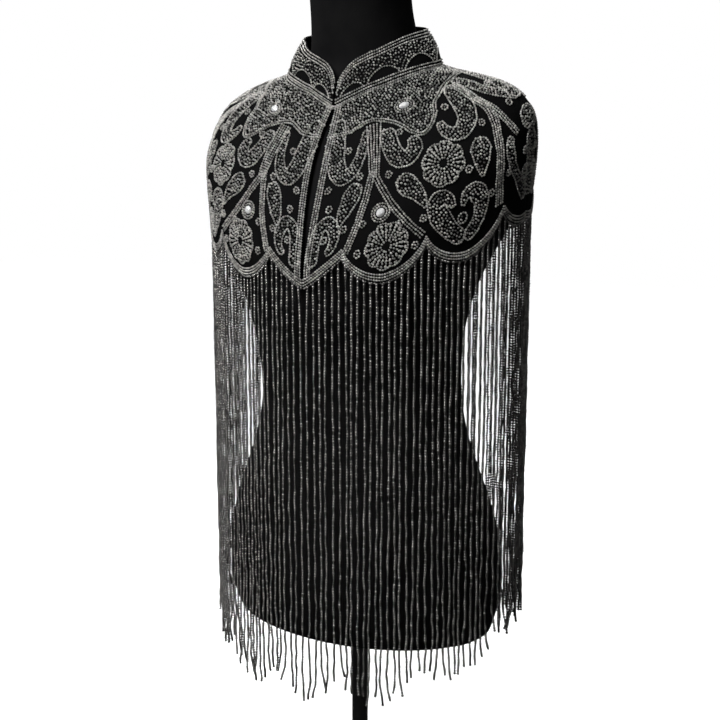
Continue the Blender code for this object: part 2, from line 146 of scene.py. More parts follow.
def drape_tables():
    """Reach and height of the cloth's inner face, by angle and by distance down it."""
    angles = np.linspace(0.0, math.pi, ANGLE_STEPS + 1)[:, None]
    rise = 1.0 - (1.0 - angles / math.pi) ** NECK_RISE_POWER
    neck = NECK_FRONT_HEIGHT + (NECK_BACK_HEIGHT - NECK_FRONT_HEIGHT) * rise
    heights = neck - np.arange(0.0, PROFILE_DROP, PROFILE_STEP)
    reach = form_reach(angles, heights)
    slack = FALL_IN * PROFILE_STEP * np.arange(heights.shape[1])
    reach = np.maximum.accumulate(reach + slack, axis=1) - slack
    run = np.gradient(reach, axis=1)
    fall = np.gradient(heights, axis=1)
    length = np.hypot(run, fall)
    reach = reach - fall / length * CLOTH_EASE
    heights = heights + run / length * CLOTH_EASE
    steps = np.hypot(np.diff(reach, axis=1), np.diff(heights, axis=1))
    along = np.concatenate((np.zeros((len(angles), 1)), np.cumsum(steps, axis=1)), axis=1)
    even = np.arange(0.0, DISTANCE_END, DISTANCE_STEP)
    tables = []
    for profiles in (reach, heights):
        tables.append(np.array([np.interp(even, *profile) for profile in zip(along, profiles)]))
    return even, *tables


DISTANCES, REACH, HEIGHT = drape_tables()
print("drape profiles:", REACH.shape[0], "with", REACH.shape[1], "places each")

# %% Hem, opening and points of the cloth
LEFT = 1
RIGHT = -1
SIDES = {"left": LEFT, "right": RIGHT}
SCALLOPS = 12
HALF_SCALLOP = 0.5
SHOULDER = 3
BACK = SCALLOPS // 2
SHOULDER_ANGLE = math.radians(87)
TIP_HEIGHTS = (0.645, 0.653, 0.675, 0.713, 0.702, 0.682, 0.672)
SCALLOP_DROP = 0.027
FRONT_POINT_POWER = 1.2
OPENING_NECK = 0.0010
OPENING_WIDEST = 0.0055
OPENING_HEM = 0.0014
OPENING_WIDEST_AT = 0.40
OPENING_SCALLOP = 0.0001
SEAM_SCALLOP = 0.004
HEM_SAMPLES_PER_SCALLOP = 160
CHART_NUDGE = 0.002
TABLE_MARGIN = 1e-6


def look_up(table, angle, distance):
    """Read a drape table between its angles and distances."""
    row = np.clip(np.abs(angle) / math.pi * ANGLE_STEPS, 0.0, ANGLE_STEPS - TABLE_MARGIN)
    column = np.clip(distance / DISTANCE_STEP, 0.0, table.shape[1] - 1.0 - TABLE_MARGIN)
    upper = row.astype(int)
    left = column.astype(int)
    row_share = row - upper
    column_share = column - left
    near = table[upper, left] * (1.0 - column_share) + table[upper, left + 1] * column_share
    far = table[upper + 1, left] * (1.0 - column_share) + table[upper + 1, left + 1] * column_share
    return near * (1.0 - row_share) + far * row_share


def share_hem():
    """Lookup from scallops round the hem to angles, and one scallop's width."""
    angles = np.linspace(0.0, math.pi, ANGLE_STEPS + 1)
    level = np.interp(angles, (0.0, SHOULDER_ANGLE, math.pi), TIP_HEIGHTS[::SHOULDER])
    down = np.array([np.interp(-z, -row, DISTANCES) for z, row in zip(level, HEIGHT)])
    reach = look_up(REACH, angles, down)
    steps = np.hypot(np.diff(reach * np.sin(angles)), np.diff(reach * np.cos(angles)))
    along = np.concatenate(([0.0], np.cumsum(steps)))
    marks = (0.0, np.interp(SHOULDER_ANGLE, angles, along), along[-1])
    return np.interp(along, marks, (0, SHOULDER, BACK)), angles, along[-1] / BACK


HEM_SCALLOPS, HEM_ANGLES, SCALLOP_WIDTH = share_hem()


def wrap_scallop(scallop):
    """The same place counted from centre front, at most half a round either way."""
    return (np.asarray(scallop, float) + BACK) % SCALLOPS - BACK


def scallop_rise(turn):
    """How far the hem lies above the scallop tips: round scallops, a point at the front."""
    chord = SCALLOP_WIDTH / 2
    radius = (chord**2 + SCALLOP_DROP**2) / (2 * SCALLOP_DROP)
    away = (turn - np.round(turn)) * SCALLOP_WIDTH
    rounded = radius - np.sqrt(radius**2 - away**2)
    pointed = SCALLOP_DROP * (turn / HALF_SCALLOP) ** FRONT_POINT_POWER
    return np.where(turn < HALF_SCALLOP, pointed, rounded)


def cut_tables():
    """Distance from the neckline to the hem, and to the line of the scallop tips."""
    turns = np.linspace(0.0, BACK, BACK * HEM_SAMPLES_PER_SCALLOP + 1)
    angles = np.interp(turns, HEM_SCALLOPS, HEM_ANGLES)
    tips = np.interp(turns, range(len(TIP_HEIGHTS)), TIP_HEIGHTS)
    hems = tips + scallop_rise(turns)
    cuts = []
    levels = []
    for angle, tip, hem in zip(angles, tips, hems):
        heights = look_up(HEIGHT, np.full(DISTANCES.shape, angle), DISTANCES)
        cuts.append(np.interp(-hem, -heights, DISTANCES))
        levels.append(np.interp(-tip, -heights, DISTANCES))
    return turns, np.array(cuts), np.array(levels)


CUT_TURNS, CUTS, LEVELS = cut_tables()


def hem_cut(scallop):
    """Cut length from the neckline to the scalloped edge."""
    return np.interp(np.abs(wrap_scallop(scallop)), CUT_TURNS, CUTS)


def tip_cut(scallop):
    """Cut length from the neckline to the line of the scallop tips."""
    return np.interp(np.abs(wrap_scallop(scallop)), CUT_TURNS, LEVELS)


def opening_half(share):
    """Half the front opening at a share of the way from neck to hem."""
    upper = np.sin(np.clip(share / OPENING_WIDEST_AT, 0.0, 1.0) * math.pi / 2)
    lower = np.sin(np.clip((1.0 - share) / (1.0 - OPENING_WIDEST_AT), 0.0, 1.0) * math.pi / 2) ** 2
    above = OPENING_NECK + (OPENING_WIDEST - OPENING_NECK) * upper
    below = OPENING_HEM + (OPENING_WIDEST - OPENING_HEM) * lower
    return np.where(share < OPENING_WIDEST_AT, above, below)


def inner_face(scallop, distance):
    """Points on the cloth's inner face, kept clear of the front opening."""
    turn = wrap_scallop(scallop)
    angle = np.interp(np.abs(turn), HEM_SCALLOPS, HEM_ANGLES)
    share = np.clip(distance / hem_cut(turn), 0.0, 1.0)
    shift = np.arcsin(opening_half(share) / look_up(REACH, angle, distance))
    angle = angle + shift * np.clip(1.0 - np.abs(turn), 0.0, None)
    reach = look_up(REACH, angle, distance)
    side = np.where(turn < 0.0, -1.0, 1.0)
    across = side * reach * np.sin(angle)
    ahead = DRAPE_AXIS_Y - reach * np.cos(angle)
    return np.stack((across, ahead, look_up(HEIGHT, angle, distance)), axis=-1)


def unit(vectors):
    """Vectors brought to length one."""
    return vectors / np.linalg.norm(vectors, axis=-1, keepdims=True)


def cloth_frame(scallop, distance):
    """Inner face points with the directions across, along and out of the cloth."""
    scallop = np.asarray(scallop, float)
    distance = np.asarray(distance, float)
    step = CHART_NUDGE / SCALLOP_WIDTH
    near_opening = np.abs(wrap_scallop(scallop)) < step
    before = np.where(near_opening & (wrap_scallop(scallop) > 0.0), scallop, scallop - step)
    after = np.where(near_opening & (wrap_scallop(scallop) < 0.0), scallop, scallop + step)
    across = unit(inner_face(after, distance) - inner_face(before, distance))
    above = np.maximum(distance - CHART_NUDGE, 0.0)
    down = unit(inner_face(scallop, distance + CHART_NUDGE) - inner_face(scallop, above))
    return inner_face(scallop, distance), across, down, unit(np.cross(down, across))


def cloth_point(scallop, distance, lift=0.0):
    """Points lifted this far off the cloth's outer face."""
    place, across, down, out = cloth_frame(scallop, distance)
    return place + out * (CLOTH_WALL + np.asarray(lift, float)[..., None])


def cloth_width(scallop, distance):
    """How wide one scallop's share of the cloth is at these places."""
    step = CHART_NUDGE / SCALLOP_WIDTH
    inward = np.clip(np.abs(wrap_scallop(scallop)), 2 * step, BACK - 2 * step)
    apart = inner_face(inward + step, distance) - inner_face(inward - step, distance)
    return np.linalg.norm(apart, axis=-1) / (2 * step)


print("scallop width:", round(float(SCALLOP_WIDTH) / MM, 1), "mm")
print("cut at each scallop tip:", np.round(hem_cut(np.arange(BACK + 1)) / MM, 1), "mm")

# %% [markdown]
# ## Finishes
# Six finishes cover the whole part. A finish could be one flat colour, but close
# up the real ones all vary: the form's jersey has fine ribs, the net has its
# meshes, metal has a soft unevenness, and no two beads have quite the same grey.
# Each material is made of nodes that read the piece's own coordinates, so the
# pattern keeps its size and stays put whatever the view.

# %% Helpers for nodes and materials


def set_inputs(tree, node, **inputs):
    """Link or set a node's inputs by name, with _ for each space."""
    for label, value in inputs.items():
        wanted = label.replace("_", " ")
        socket = next(s for s in node.inputs if s.name == wanted and s.enabled)
        if isinstance(value, bpy.types.NodeSocket):
            tree.links.new(value, socket)
        else:
            socket.default_value = value


def add_node(tree, kind, settings=None, **inputs):
    """A new node with its properties set and its inputs linked or set."""
    node = tree.nodes.new(kind)
    for key, value in (settings or {}).items():
        setattr(node, key, value)
    set_inputs(tree, node, **inputs)
    return node


def new_material(name):
    """A material with its node tree and its Principled shader."""
    material = bpy.data.materials.new(name)
    material.use_nodes = True
    return material, material.node_tree, material.node_tree.nodes["Principled BSDF"]


def own_noise(tree, scale, detail, stretch=None):
    """Noise that keeps to the piece's own coordinates."""
    place = add_node(tree, "ShaderNodeTexCoord").outputs["Object"]
    if stretch:
        place = add_node(tree, "ShaderNodeMapping", Vector=place, Scale=stretch).outputs["Vector"]
    return add_node(tree, "ShaderNodeTexNoise", Vector=place, Scale=scale, Detail=detail).outputs["Fac"]


def add_ramp(tree, source, low, high, start=0.0, end=1.0):
    """A colour ramp from one grey or colour to another."""
    ramp = add_node(tree, "ShaderNodeValToRGB", Fac=source)
    for element, position, colour in zip(ramp.color_ramp.elements, (start, end), (low, high)):
        element.position = position
        element.color = (*colour, 1.0)
    return ramp.outputs["Color"]


def add_bump(tree, source, strength, depth):
    """A bumpy normal from a height."""
    bump = add_node(tree, "ShaderNodeBump", Strength=strength, Distance=depth, Height=source)
    return bump.outputs["Normal"]


# %% Jersey, metal and net
THREAD_TURNS = (math.radians(45), math.radians(-45))


def jersey_finish():
    """Black stretch jersey: fine upright ribs, faint mottling and a soft sheen."""
    material, tree, shader = new_material("black_jersey")
    mottle = own_noise(tree, scale=28.0, detail=4.0)
    ribs = own_noise(tree, scale=900.0, detail=2.0, stretch=(1.0, 1.0, 0.25))
    dark = (0.0042, 0.0042, 0.0045)
    light = (0.0072, 0.0071, 0.0072)
    set_inputs(
        tree,
        shader,
        Base_Color=add_ramp(tree, mottle, dark, light, start=0.3, end=0.7),
        Normal=add_bump(tree, ribs, strength=0.25, depth=0.0004),
        Roughness=0.8,
        Specular_IOR_Level=0.03,
        Sheen_Weight=0.01,
        Sheen_Roughness=0.4,
    )
    return material


def stand_finish():
    """Black powder-coated steel: fine grain in the gloss and in the surface."""
    material, tree, shader = new_material("black_metal")
    grain = own_noise(tree, scale=1400.0, detail=3.0)
    gloss = add_node(tree, "ShaderNodeMapRange", Value=grain, To_Min=0.34, To_Max=0.5)
    set_inputs(
        tree,
        shader,
        Base_Color=add_ramp(tree, grain, (0.006, 0.006, 0.006), (0.011, 0.011, 0.011)),
        Normal=add_bump(tree, grain, strength=0.2, depth=0.0002),
        Roughness=gloss.outputs["Result"],
    )
    return material


def net_finish(uv_name):
    """Black net over a black ground: two crossing sets of threads on the cloth's own map."""
    material, tree, shader = new_material("black_net")
    place = add_node(tree, "ShaderNodeUVMap", {"uv_map": uv_name}).outputs["UV"]
    net = add_node(tree, "ShaderNodeMath", {"operation": "MAXIMUM"})
    for turn, socket in zip(THREAD_TURNS, net.inputs):
        slant = add_node(tree, "ShaderNodeMapping", Vector=place, Rotation=(0.0, 0.0, turn))
        along = slant.outputs["Vector"]
        wave = add_node(tree, "ShaderNodeTexWave", Vector=along, Scale=260.0, Distortion=0.6, Detail=1.0)
        tree.links.new(wave.outputs["Fac"], socket)
    threads = net.outputs["Value"]
    dark = (0.0012, 0.0012, 0.0013)
    light = (0.0042, 0.0042, 0.0043)
    set_inputs(
        tree,
        shader,
        Base_Color=add_ramp(tree, threads, dark, light, start=0.55, end=1.0),
        Normal=add_bump(tree, threads, strength=0.5, depth=0.0003),
        Roughness=0.75,
        Specular_IOR_Level=0.03,
    )
    return material


CLOTH_MAP = "cloth"
JERSEY = jersey_finish()
STAND = stand_finish()
NET = net_finish(CLOTH_MAP)
print("cloth and stand finishes:", JERSEY.name, STAND.name, NET.name)

# %% Beads and stones
TONE = "tone"


def bead_finish(name, dark, light, roughness, metallic):
    """Metal-lined glass beads: each bead has its own tone, with a little cloud in it."""
    material, tree, shader = new_material(name)
    tone = add_node(tree, "ShaderNodeAttribute", {"attribute_name": TONE}).outputs["Fac"]
    cloud = own_noise(tree, scale=700.0, detail=2.0)
    mix = add_node(tree, "ShaderNodeMix", {"data_type": "RGBA", "blend_type": "MULTIPLY"}, Factor=0.5)
    first, second = (socket for socket in mix.inputs if socket.type == "RGBA")
    tree.links.new(add_ramp(tree, tone, dark, light), first)
    tree.links.new(cloud, second)
    set_inputs(
        tree,
        shader,
        Base_Color=next(socket for socket in mix.outputs if socket.type == "RGBA"),
        Roughness=roughness,
        Metallic=metallic,
        Coat_Weight=0.25,
        Coat_Roughness=0.12,
    )
    return material


def stone_finish():
    """Foil-backed crystal: silvery, with a faint cloud and a hard gloss."""
    material, tree, shader = new_material("clear_stone")
    cloud = own_noise(tree, scale=350.0, detail=2.0)
    dark = (0.60, 0.61, 0.62)
    light = (0.96, 0.96, 0.95)
    set_inputs(
        tree,
        shader,
        Base_Color=add_ramp(tree, cloud, dark, light, start=0.35, end=0.65),
        Roughness=0.12,
        Metallic=0.4,
        Coat_Weight=1.0,
        Coat_Roughness=0.03,
    )
    return material


SILVER_BEAD = bead_finish("silver_bead", (0.07, 0.069, 0.066), (0.76, 0.74, 0.70), 0.33, 0.75)
STRING_BEAD = bead_finish("gunmetal_bead", (0.014, 0.014, 0.0135), (0.45, 0.438, 0.418), 0.24, 0.8)
STONE = stone_finish()
print("bead and stone finishes:", SILVER_BEAD.name, STRING_BEAD.name, STONE.name)

# %% [markdown]
# ## Dress form and stand
# The form is a torso of padded board under stretched black jersey, on a steel
# pole and a round foot. It could be sculpted, but the solid already has its true
# sections and is only faceted. So its mesh is copied, the loose triangles are
# merged and paired into quads, and Subdivision Surface rounds them. Sharp rims,
# such as the neck's cap, are creased so that they stay crisp.

# %% Smooth copies of the form, pole and foot
MERGE_DISTANCE = 0.00001
JOIN_ANGLE = math.radians(40)
RIM_ANGLE = math.radians(38)
RIM_CREASE = 0.8
ROUNDING_LEVELS = 2


def link_piece(name, data):
    """A new object at the origin."""
    piece = bpy.data.objects.new(name, data)
    bpy.context.scene.collection.objects.link(piece)
    return piece


def shape_mesh(name, shape):
    """A plain mesh from an edited shape."""
    mesh = bpy.data.meshes.new(name)
    shape.to_mesh(mesh)
    shape.free()
    return mesh


def join_part(piece, node=None):
    """Let a piece ride on the part, in place of a solid if it has one."""
    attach(piece, "root")
    if node:
        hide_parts(node)
    return piece


def bake_modifiers(piece):
    """Replace a piece's mesh by its evaluated one and drop its modifiers."""
    graph = bpy.context.evaluated_depsgraph_get()
    source = piece.evaluated_get(graph)
    mesh = bpy.data.meshes.new_from_object(source, preserve_all_data_layers=True, depsgraph=graph)
    mesh.name = piece.name
    piece.modifiers.clear()
    piece.data = mesh
    return piece


def merged_copy(node, name):
    """The solid's mesh with its triangles merged and paired, rims creased."""
    solid = bmesh.new()
    solid.from_mesh(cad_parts[node].data)
    bmesh.ops.remove_doubles(solid, verts=solid.verts[:], dist=MERGE_DISTANCE)
    bmesh.ops.join_triangles(
        solid, faces=solid.faces[:], angle_face_threshold=JOIN_ANGLE, angle_shape_threshold=math.pi
    )
    crease = solid.edges.layers.float.new("crease_edge")
    for edge in solid.edges:
        if edge.calc_face_angle(0.0) > RIM_ANGLE:
            edge[crease] = RIM_CREASE
    for face in solid.faces:
        face.smooth = True
    return link_piece(name, shape_mesh(name, solid))


def rounded_node(node, name, material):
    """A smooth piece in place of a faceted solid."""
    piece = merged_copy(node, name)
    rounding = piece.modifiers.new("rounding", "SUBSURF")
    rounding.levels = ROUNDING_LEVELS
    rounding.render_levels = ROUNDING_LEVELS
    bake_modifiers(piece)
    piece.data.materials.clear()
    piece.data.materials.append(material)
    print(name, "faces:", len(piece.data.polygons))
    return join_part(piece, node)


FORM_PIECE = rounded_node("form_body", "form_jersey", JERSEY)
rounded_node("stand_pole", "pole_steel", STAND)
rounded_node("stand_base", "foot_steel", STAND)

# %% [markdown]
# ## Cloth of the yoke and the collar
# Under the beads lies black net on a black ground, a millimetre or so thick. The
# cloth could be simulated, but this capelet is stiff with beading and lies just
# where it was cut to lie, so each panel is a fine grid on the chart, given its
# thickness by Solidify. Its map is in metres along the cloth, so the net's meshes
# have one size everywhere.

# %% Panels from the chart
NET_WALL = 0.0012
COLUMNS_PER_SCALLOP = 24
PANEL_ROWS = 48
BEADED_WAVE = 0.00025
WAVE_LENGTH = 0.013
WAVES_ACROSS = 2.1
WAVES_DOWN = 1.7
WAVE_DRIFT = 3.0


def soft_wave(turn, distance):
    """The slight unevenness of cloth that is pulled by its beading."""
    drift = WAVE_DRIFT * np.sin(distance / WAVE_LENGTH)
    across = np.sin(turn * SCALLOP_WIDTH / WAVE_LENGTH * WAVES_ACROSS + drift)
    return BEADED_WAVE * across * np.sin(distance / WAVE_LENGTH * WAVES_DOWN)


def grid_mesh(name, points, flat):
    """A grid of quads through rows of points, mapped by its flat places."""
    rows, columns = points.shape[:2]
    index = np.arange(rows * columns).reshape(rows, columns)
    corners = (index[:-1, :-1], index[1:, :-1], index[1:, 1:], index[:-1, 1:])
    faces = np.stack(corners, axis=-1).reshape(-1, 4)
    mesh = bpy.data.meshes.new(name)
    mesh.from_pydata(points.reshape(-1, 3).tolist(), [], faces.tolist())
    cloth_map = mesh.uv_layers.new(name=CLOTH_MAP)
    cloth_map.data.foreach_set("uv", flat.reshape(-1, 2)[faces.ravel()].astype(np.float32).ravel())
    mesh.polygons.foreach_set("use_smooth", np.ones(len(faces), dtype=bool))
    return mesh


def cloth_shell(name, node, points, flat):
    """A thin net shell in place of a cloth solid."""
    piece = link_piece(name, grid_mesh(name, points, flat))
    wall = piece.modifiers.new("wall", "SOLIDIFY")
    wall.thickness = NET_WALL
    wall.offset = -1.0
    bake_modifiers(piece)
    piece.data.materials.append(NET)
    return join_part(piece, node)


def panel_points(start, end):
    """Outer face and flat places of a panel between two places round the hem."""
    turns = np.linspace(start, end, round((end - start) * COLUMNS_PER_SCALLOP) + 1)
    shares = np.linspace(0.0, 1.0, PANEL_ROWS)[:, None]
    turn = np.repeat(turns[None, :], PANEL_ROWS, axis=0)
    distance = shares * hem_cut(turns)[None, :]
    points = cloth_point(turn, distance, soft_wave(turn, distance))
    return points, np.stack((turn * SCALLOP_WIDTH, distance), axis=-1)


Panel = namedtuple("Panel", "node start end")
PANELS = {
    "front_left": Panel("yoke_front_left", OPENING_SCALLOP, SHOULDER - SEAM_SCALLOP),
    "front_right": Panel("yoke_front_right", SEAM_SCALLOP - SHOULDER, -OPENING_SCALLOP),
    "back": Panel("yoke_back", SHOULDER + SEAM_SCALLOP, SCALLOPS - SHOULDER - SEAM_SCALLOP),
}
for name, panel in PANELS.items():
    points, flat = panel_points(panel.start, panel.end)
    cloth_shell(f"{name}_net", panel.node, points, flat)

# %% The stand-up collar
COLLAR_HEIGHT = 0.0365
COLLAR_WALL = 0.0022
COLLAR_LEAN = 0.018
COLLAR_LEAN_POWER = 1.4
COLLAR_CLEAR = 0.004
COLLAR_CORNER = 0.50
COLLAR_CORNER_LOW = 0.50
COLLAR_CORNER_POWER = 0.42
COLLAR_COLUMNS = 240
COLLAR_ROWS = 14


def collar_height(turn):
    """Height of the collar: full all round, falling in a rounded corner at the front."""
    near = np.clip(np.abs(wrap_scallop(turn)) / COLLAR_CORNER, 0.0, 1.0)
    corner = np.sin(near * math.pi / 2) ** COLLAR_CORNER_POWER
    return COLLAR_HEIGHT * (COLLAR_CORNER_LOW + (1.0 - COLLAR_CORNER_LOW) * corner)


def collar_point(turn, height, lift=0.0):
    """Points lifted this far off the collar's outer face."""
    turn = np.asarray(turn, float)
    height = np.asarray(height, float)
    place, across, down, out = cloth_frame(turn, np.zeros(turn.shape))
    foot = place + out * (CLOTH_WALL + SEAM_GAP)
    to_axis = (np.array((0.0, DRAPE_AXIS_Y, 0.0)) - foot) * np.array((1.0, 1.0, 0.0))
    reach = np.linalg.norm(to_axis, axis=-1)
    angle = np.interp(np.abs(wrap_scallop(turn)), HEM_SCALLOPS, HEM_ANGLES)
    neck = form_reach(angle, foot[..., 2] + COLLAR_HEIGHT)
    lean = np.minimum(COLLAR_LEAN, reach - neck - COLLAR_CLEAR)
    share = height / COLLAR_HEIGHT
    inward = to_axis / reach[..., None]
    upright = np.array((0.0, 0.0, 1.0))
    slope = lean * COLLAR_LEAN_POWER * share ** (COLLAR_LEAN_POWER - 1.0) / COLLAR_HEIGHT
    face = unit(np.cross(across, unit(upright + inward * slope[..., None])))
    inner = foot + upright * height[..., None] + inward * (lean * share**COLLAR_LEAN_POWER)[..., None]
    return inner + face * (COLLAR_WALL + np.asarray(lift, float)[..., None])


collar_turns = np.linspace(OPENING_SCALLOP, SCALLOPS - OPENING_SCALLOP, COLLAR_COLUMNS + 1)
collar_grid = np.repeat(collar_turns[None, :], COLLAR_ROWS, axis=0)
collar_heights = np.linspace(1.0, 0.0, COLLAR_ROWS)[:, None] * collar_height(collar_turns)[None, :]
collar_points = collar_point(collar_grid, collar_heights)
collar_flat = np.stack((collar_grid * SCALLOP_WIDTH / 2, -collar_heights), axis=-1)
cloth_shell("collar_net", "collar", collar_points, collar_flat)

# %% [markdown]
# ## A Geometry Nodes tree that sews beads
# Every bead is the same small rounded shape, and there are tens of thousands of
# them, so no bead is placed by hand. A carrier mesh says where they go: its loose
# edges are rows of beads, its faces are ground to be filled, and its loose points
# are single beads. One tree reads all three. Rows are resampled at the bead's own
# length, faces get points that keep a bead's distance, and each instance takes a
# random size and tone before all are made one mesh.

# %% Helpers for node trees
UNEVEN = 0.1


def new_tree(name, inputs):
    """An empty tree with its named inputs."""
    tree = bpy.data.node_groups.new(name, "GeometryNodeTree")
    tree.is_modifier = True
    tree.interface.new_socket("Geometry", in_out="INPUT", socket_type="NodeSocketGeometry")
    for label, kind in inputs.items():
        tree.interface.new_socket(label, in_out="INPUT", socket_type=f"NodeSocket{kind}")
    tree.interface.new_socket("Geometry", in_out="OUTPUT", socket_type="NodeSocketGeometry")
    return tree, tree.nodes.new("NodeGroupInput"), tree.nodes.new("NodeGroupOutput")


def random_share(tree, low, high, seed):
    """A random number for each bead."""
    index = add_node(tree, "GeometryNodeInputIndex").outputs["Index"]
    kind = {"data_type": "FLOAT"}
    node = add_node(tree, "FunctionNodeRandomValue", kind, Min=low, Max=high, ID=index, Seed=seed)
    return next(s for s in node.outputs if s.enabled)


def is_zero(tree, count):
    """True where a count is nought."""
    kind = {"data_type": "INT", "operation": "EQUAL"}
    return add_node(tree, "FunctionNodeCompare", kind, A=count, B=0).outputs["Result"]


def times(tree, value, factor):
    """A value multiplied by a plain number."""
    node = add_node(tree, "ShaderNodeMath", {"operation": "MULTIPLY"})
    tree.links.new(value, node.inputs[0])
    node.inputs[1].default_value = factor
    return node.outputs["Value"]


def bead_instances(tree, points, bead, rotation, size, seed, darkest):
    """Beads on points, each a little larger or smaller than the next and of its own tone."""
    even = add_node(tree, "ShaderNodeCombineXYZ", X=size[0], Y=size[1], Z=size[2]).outputs["Vector"]
    uneven = random_share(tree, 1.0 - UNEVEN, 1.0 + UNEVEN, seed)
    varied = add_node(tree, "ShaderNodeVectorMath", {"operation": "SCALE"}, Vector=even, Scale=uneven)
    placed = add_node(
        tree,
        "GeometryNodeInstanceOnPoints",
        Points=points,
        Instance=bead,
        Rotation=rotation,
        Scale=varied.outputs["Vector"],
    )
    toned = add_node(
        tree,
        "GeometryNodeStoreNamedAttribute",
        {"data_type": "FLOAT", "domain": "INSTANCE"},
        Geometry=placed.outputs["Instances"],
        Name=TONE,
        Value=random_share(tree, darkest, 1.0, seed),
    )
    return toned.outputs["Geometry"]


def close_tree(tree, instances, material, end):
    """Make one mesh of all beads and set its material."""
    joined = add_node(tree, "GeometryNodeJoinGeometry")
    for source in instances:
        tree.links.new(source, joined.inputs["Geometry"])
    smooth = add_node(tree, "GeometryNodeSetShadeSmooth", Geometry=joined.outputs["Geometry"])
    solid = add_node(tree, "GeometryNodeRealizeInstances", Geometry=smooth.outputs["Geometry"])
    whole = solid.outputs["Geometry"]
    painted = add_node(tree, "GeometryNodeSetMaterial", Geometry=whole, Material=material)
    tree.links.new(painted.outputs["Geometry"], end.inputs["Geometry"])


def bead_rows(tree, geometry, selection, pitch):
    """Points at the bead's pitch along loose edges, with their rotation."""
    curve = add_node(tree, "GeometryNodeMeshToCurve", Mesh=geometry, Selection=selection).outputs["Curve"]
    even = add_node(tree, "GeometryNodeResampleCurve", {"mode": "LENGTH"}, Curve=curve, Length=pitch)
    tangent = add_node(tree, "GeometryNodeInputTangent").outputs["Tangent"]
    turned = add_node(tree, "FunctionNodeAlignRotationToVector", {"axis": "Z"}, Vector=tangent)
    return even.outputs["Curve"], turned.outputs["Rotation"]


def run_tree(name, mesh, tree, values):
    """Evaluate a tree on a carrier mesh and keep the result as a plain piece."""
    piece = link_piece(name, mesh)
    modifier = piece.modifiers.new("beads", "NODES")
    modifier.node_group = tree
    for item in tree.interface.items_tree:
        if item.in_out == "INPUT" and item.name in values:
            modifier[item.identifier] = values[item.name]
    return bake_modifiers(piece)


# %% The embroidery tree
ROW_DARKEST = 0.3
ROW_HALF_LENGTH = 0.5
FILL_STRETCH = 1.2
SIZE_INPUTS = ("Row Pitch", "Row Radius", "Fill Spacing", "Fill Density", "Fill Radius")


def embroidery_tree():
    """Rows on loose edges, filled faces and single beads on loose points."""
    inputs = dict.fromkeys(SIZE_INPUTS, "Float")
    tree, start, end = new_tree("bead_embroidery", {**inputs, "Seed": "Int", "Material": "Material"})
    ground = start.outputs["Geometry"]
    seed = start.outputs["Seed"]
    bead = add_node(tree, "GeometryNodeMeshIcoSphere", Radius=1.0, Subdivisions=1).outputs["Mesh"]
    edge_faces = add_node(tree, "GeometryNodeInputMeshEdgeNeighbors").outputs["Face Count"]
    pitch = start.outputs["Row Pitch"]
    row_points, row_turn = bead_rows(tree, ground, is_zero(tree, edge_faces), pitch)
    row_radius = start.outputs["Row Radius"]
    row_size = (row_radius, row_radius, times(tree, pitch, ROW_HALF_LENGTH))
    rows = bead_instances(tree, row_points, bead, row_turn, row_size, seed, ROW_DARKEST)
    spread = add_node(
        tree,
        "GeometryNodeDistributePointsOnFaces",
        {"distribute_method": "POISSON"},
        Mesh=ground,
        Distance_Min=start.outputs["Fill Spacing"],
        Density_Max=start.outputs["Fill Density"],
        Seed=seed,
    )
    angle = random_share(tree, 0.0, math.pi, seed)
    spin = add_node(tree, "FunctionNodeAxisAngleToRotation", Axis=(0.0, 0.0, 1.0), Angle=angle)
    fill_turn = add_node(
        tree,
        "FunctionNodeRotateRotation",
        {"rotation_space": "LOCAL"},
        Rotation=spread.outputs["Rotation"],
        Rotate_By=spin.outputs["Rotation"],
    )
    radius = start.outputs["Fill Radius"]
    fill_size = (times(tree, radius, FILL_STRETCH), radius, radius)
    fill_points = spread.outputs["Points"]
    fills = bead_instances(tree, fill_points, bead, fill_turn.outputs["Rotation"], fill_size, seed, 0.0)
    neighbours = add_node(tree, "GeometryNodeInputMeshVertexNeighbors").outputs["Vertex Count"]
    singles = add_node(tree, "GeometryNodeMeshToPoints", Mesh=ground, Selection=is_zero(tree, neighbours))
    single_points = singles.outputs["Points"]
    plain = add_node(tree, "FunctionNodeAlignRotationToVector").outputs["Rotation"]
    dots = bead_instances(tree, single_points, bead, plain, (radius, radius, radius), seed, 0.0)
    close_tree(tree, (rows, fills, dots), start.outputs["Material"], end)
    return tree


EMBROIDERY = embroidery_tree()
print("embroidery tree nodes:", len(EMBROIDERY.nodes))

# %% [markdown]
# ## The embroidered ornament
# The ornament is an ordinary scrolling one of flowers, leaves and paisleys, the
# same on both sides of the front and again on the back, with one more flower at
# centre back. Each motif could be drawn point by point; here it is a short row in
# a table: a few places it passes through, in scallops round and millimetres down,
# and its width along the way. A smooth path through the places is widened to an
# outline, the outline gets a row of beads, and its inside is filled.

# %% Paths and outlines on the chart
PATH_STEPS = 14
HAND_WOBBLE = 0.00022
PATTERN_SEED = 5
NEVER_ZERO = 1e-12


def smooth_path(places):
    """A smooth path through a few places, in scallops and millimetres."""
    knots = np.array(places, float)
    knots = np.vstack((2 * knots[0] - knots[1], knots, 2 * knots[-1] - knots[-2]))
    share = np.linspace(0.0, 1.0, PATH_STEPS, endpoint=False)[:, None]
    pieces = []
    for before, start, end, after in zip(knots, knots[1:], knots[2:], knots[3:]):
        square = 2 * before - 5 * start + 4 * end - after
        cube = 3 * start - before - 3 * end + after
        bend = square * share**2 + cube * share**3
        pieces.append(start + 0.5 * ((end - before) * share + bend))
    path = np.vstack(pieces + [knots[-2:-1]])
    return path * np.array((1.0, MM))


def scale_at(path):
    """Metres for one scallop and for one metre at each place of a path."""
    width = cloth_width(path[:, 0], path[:, 1])
    return np.stack((width, np.ones(len(path))), axis=-1)


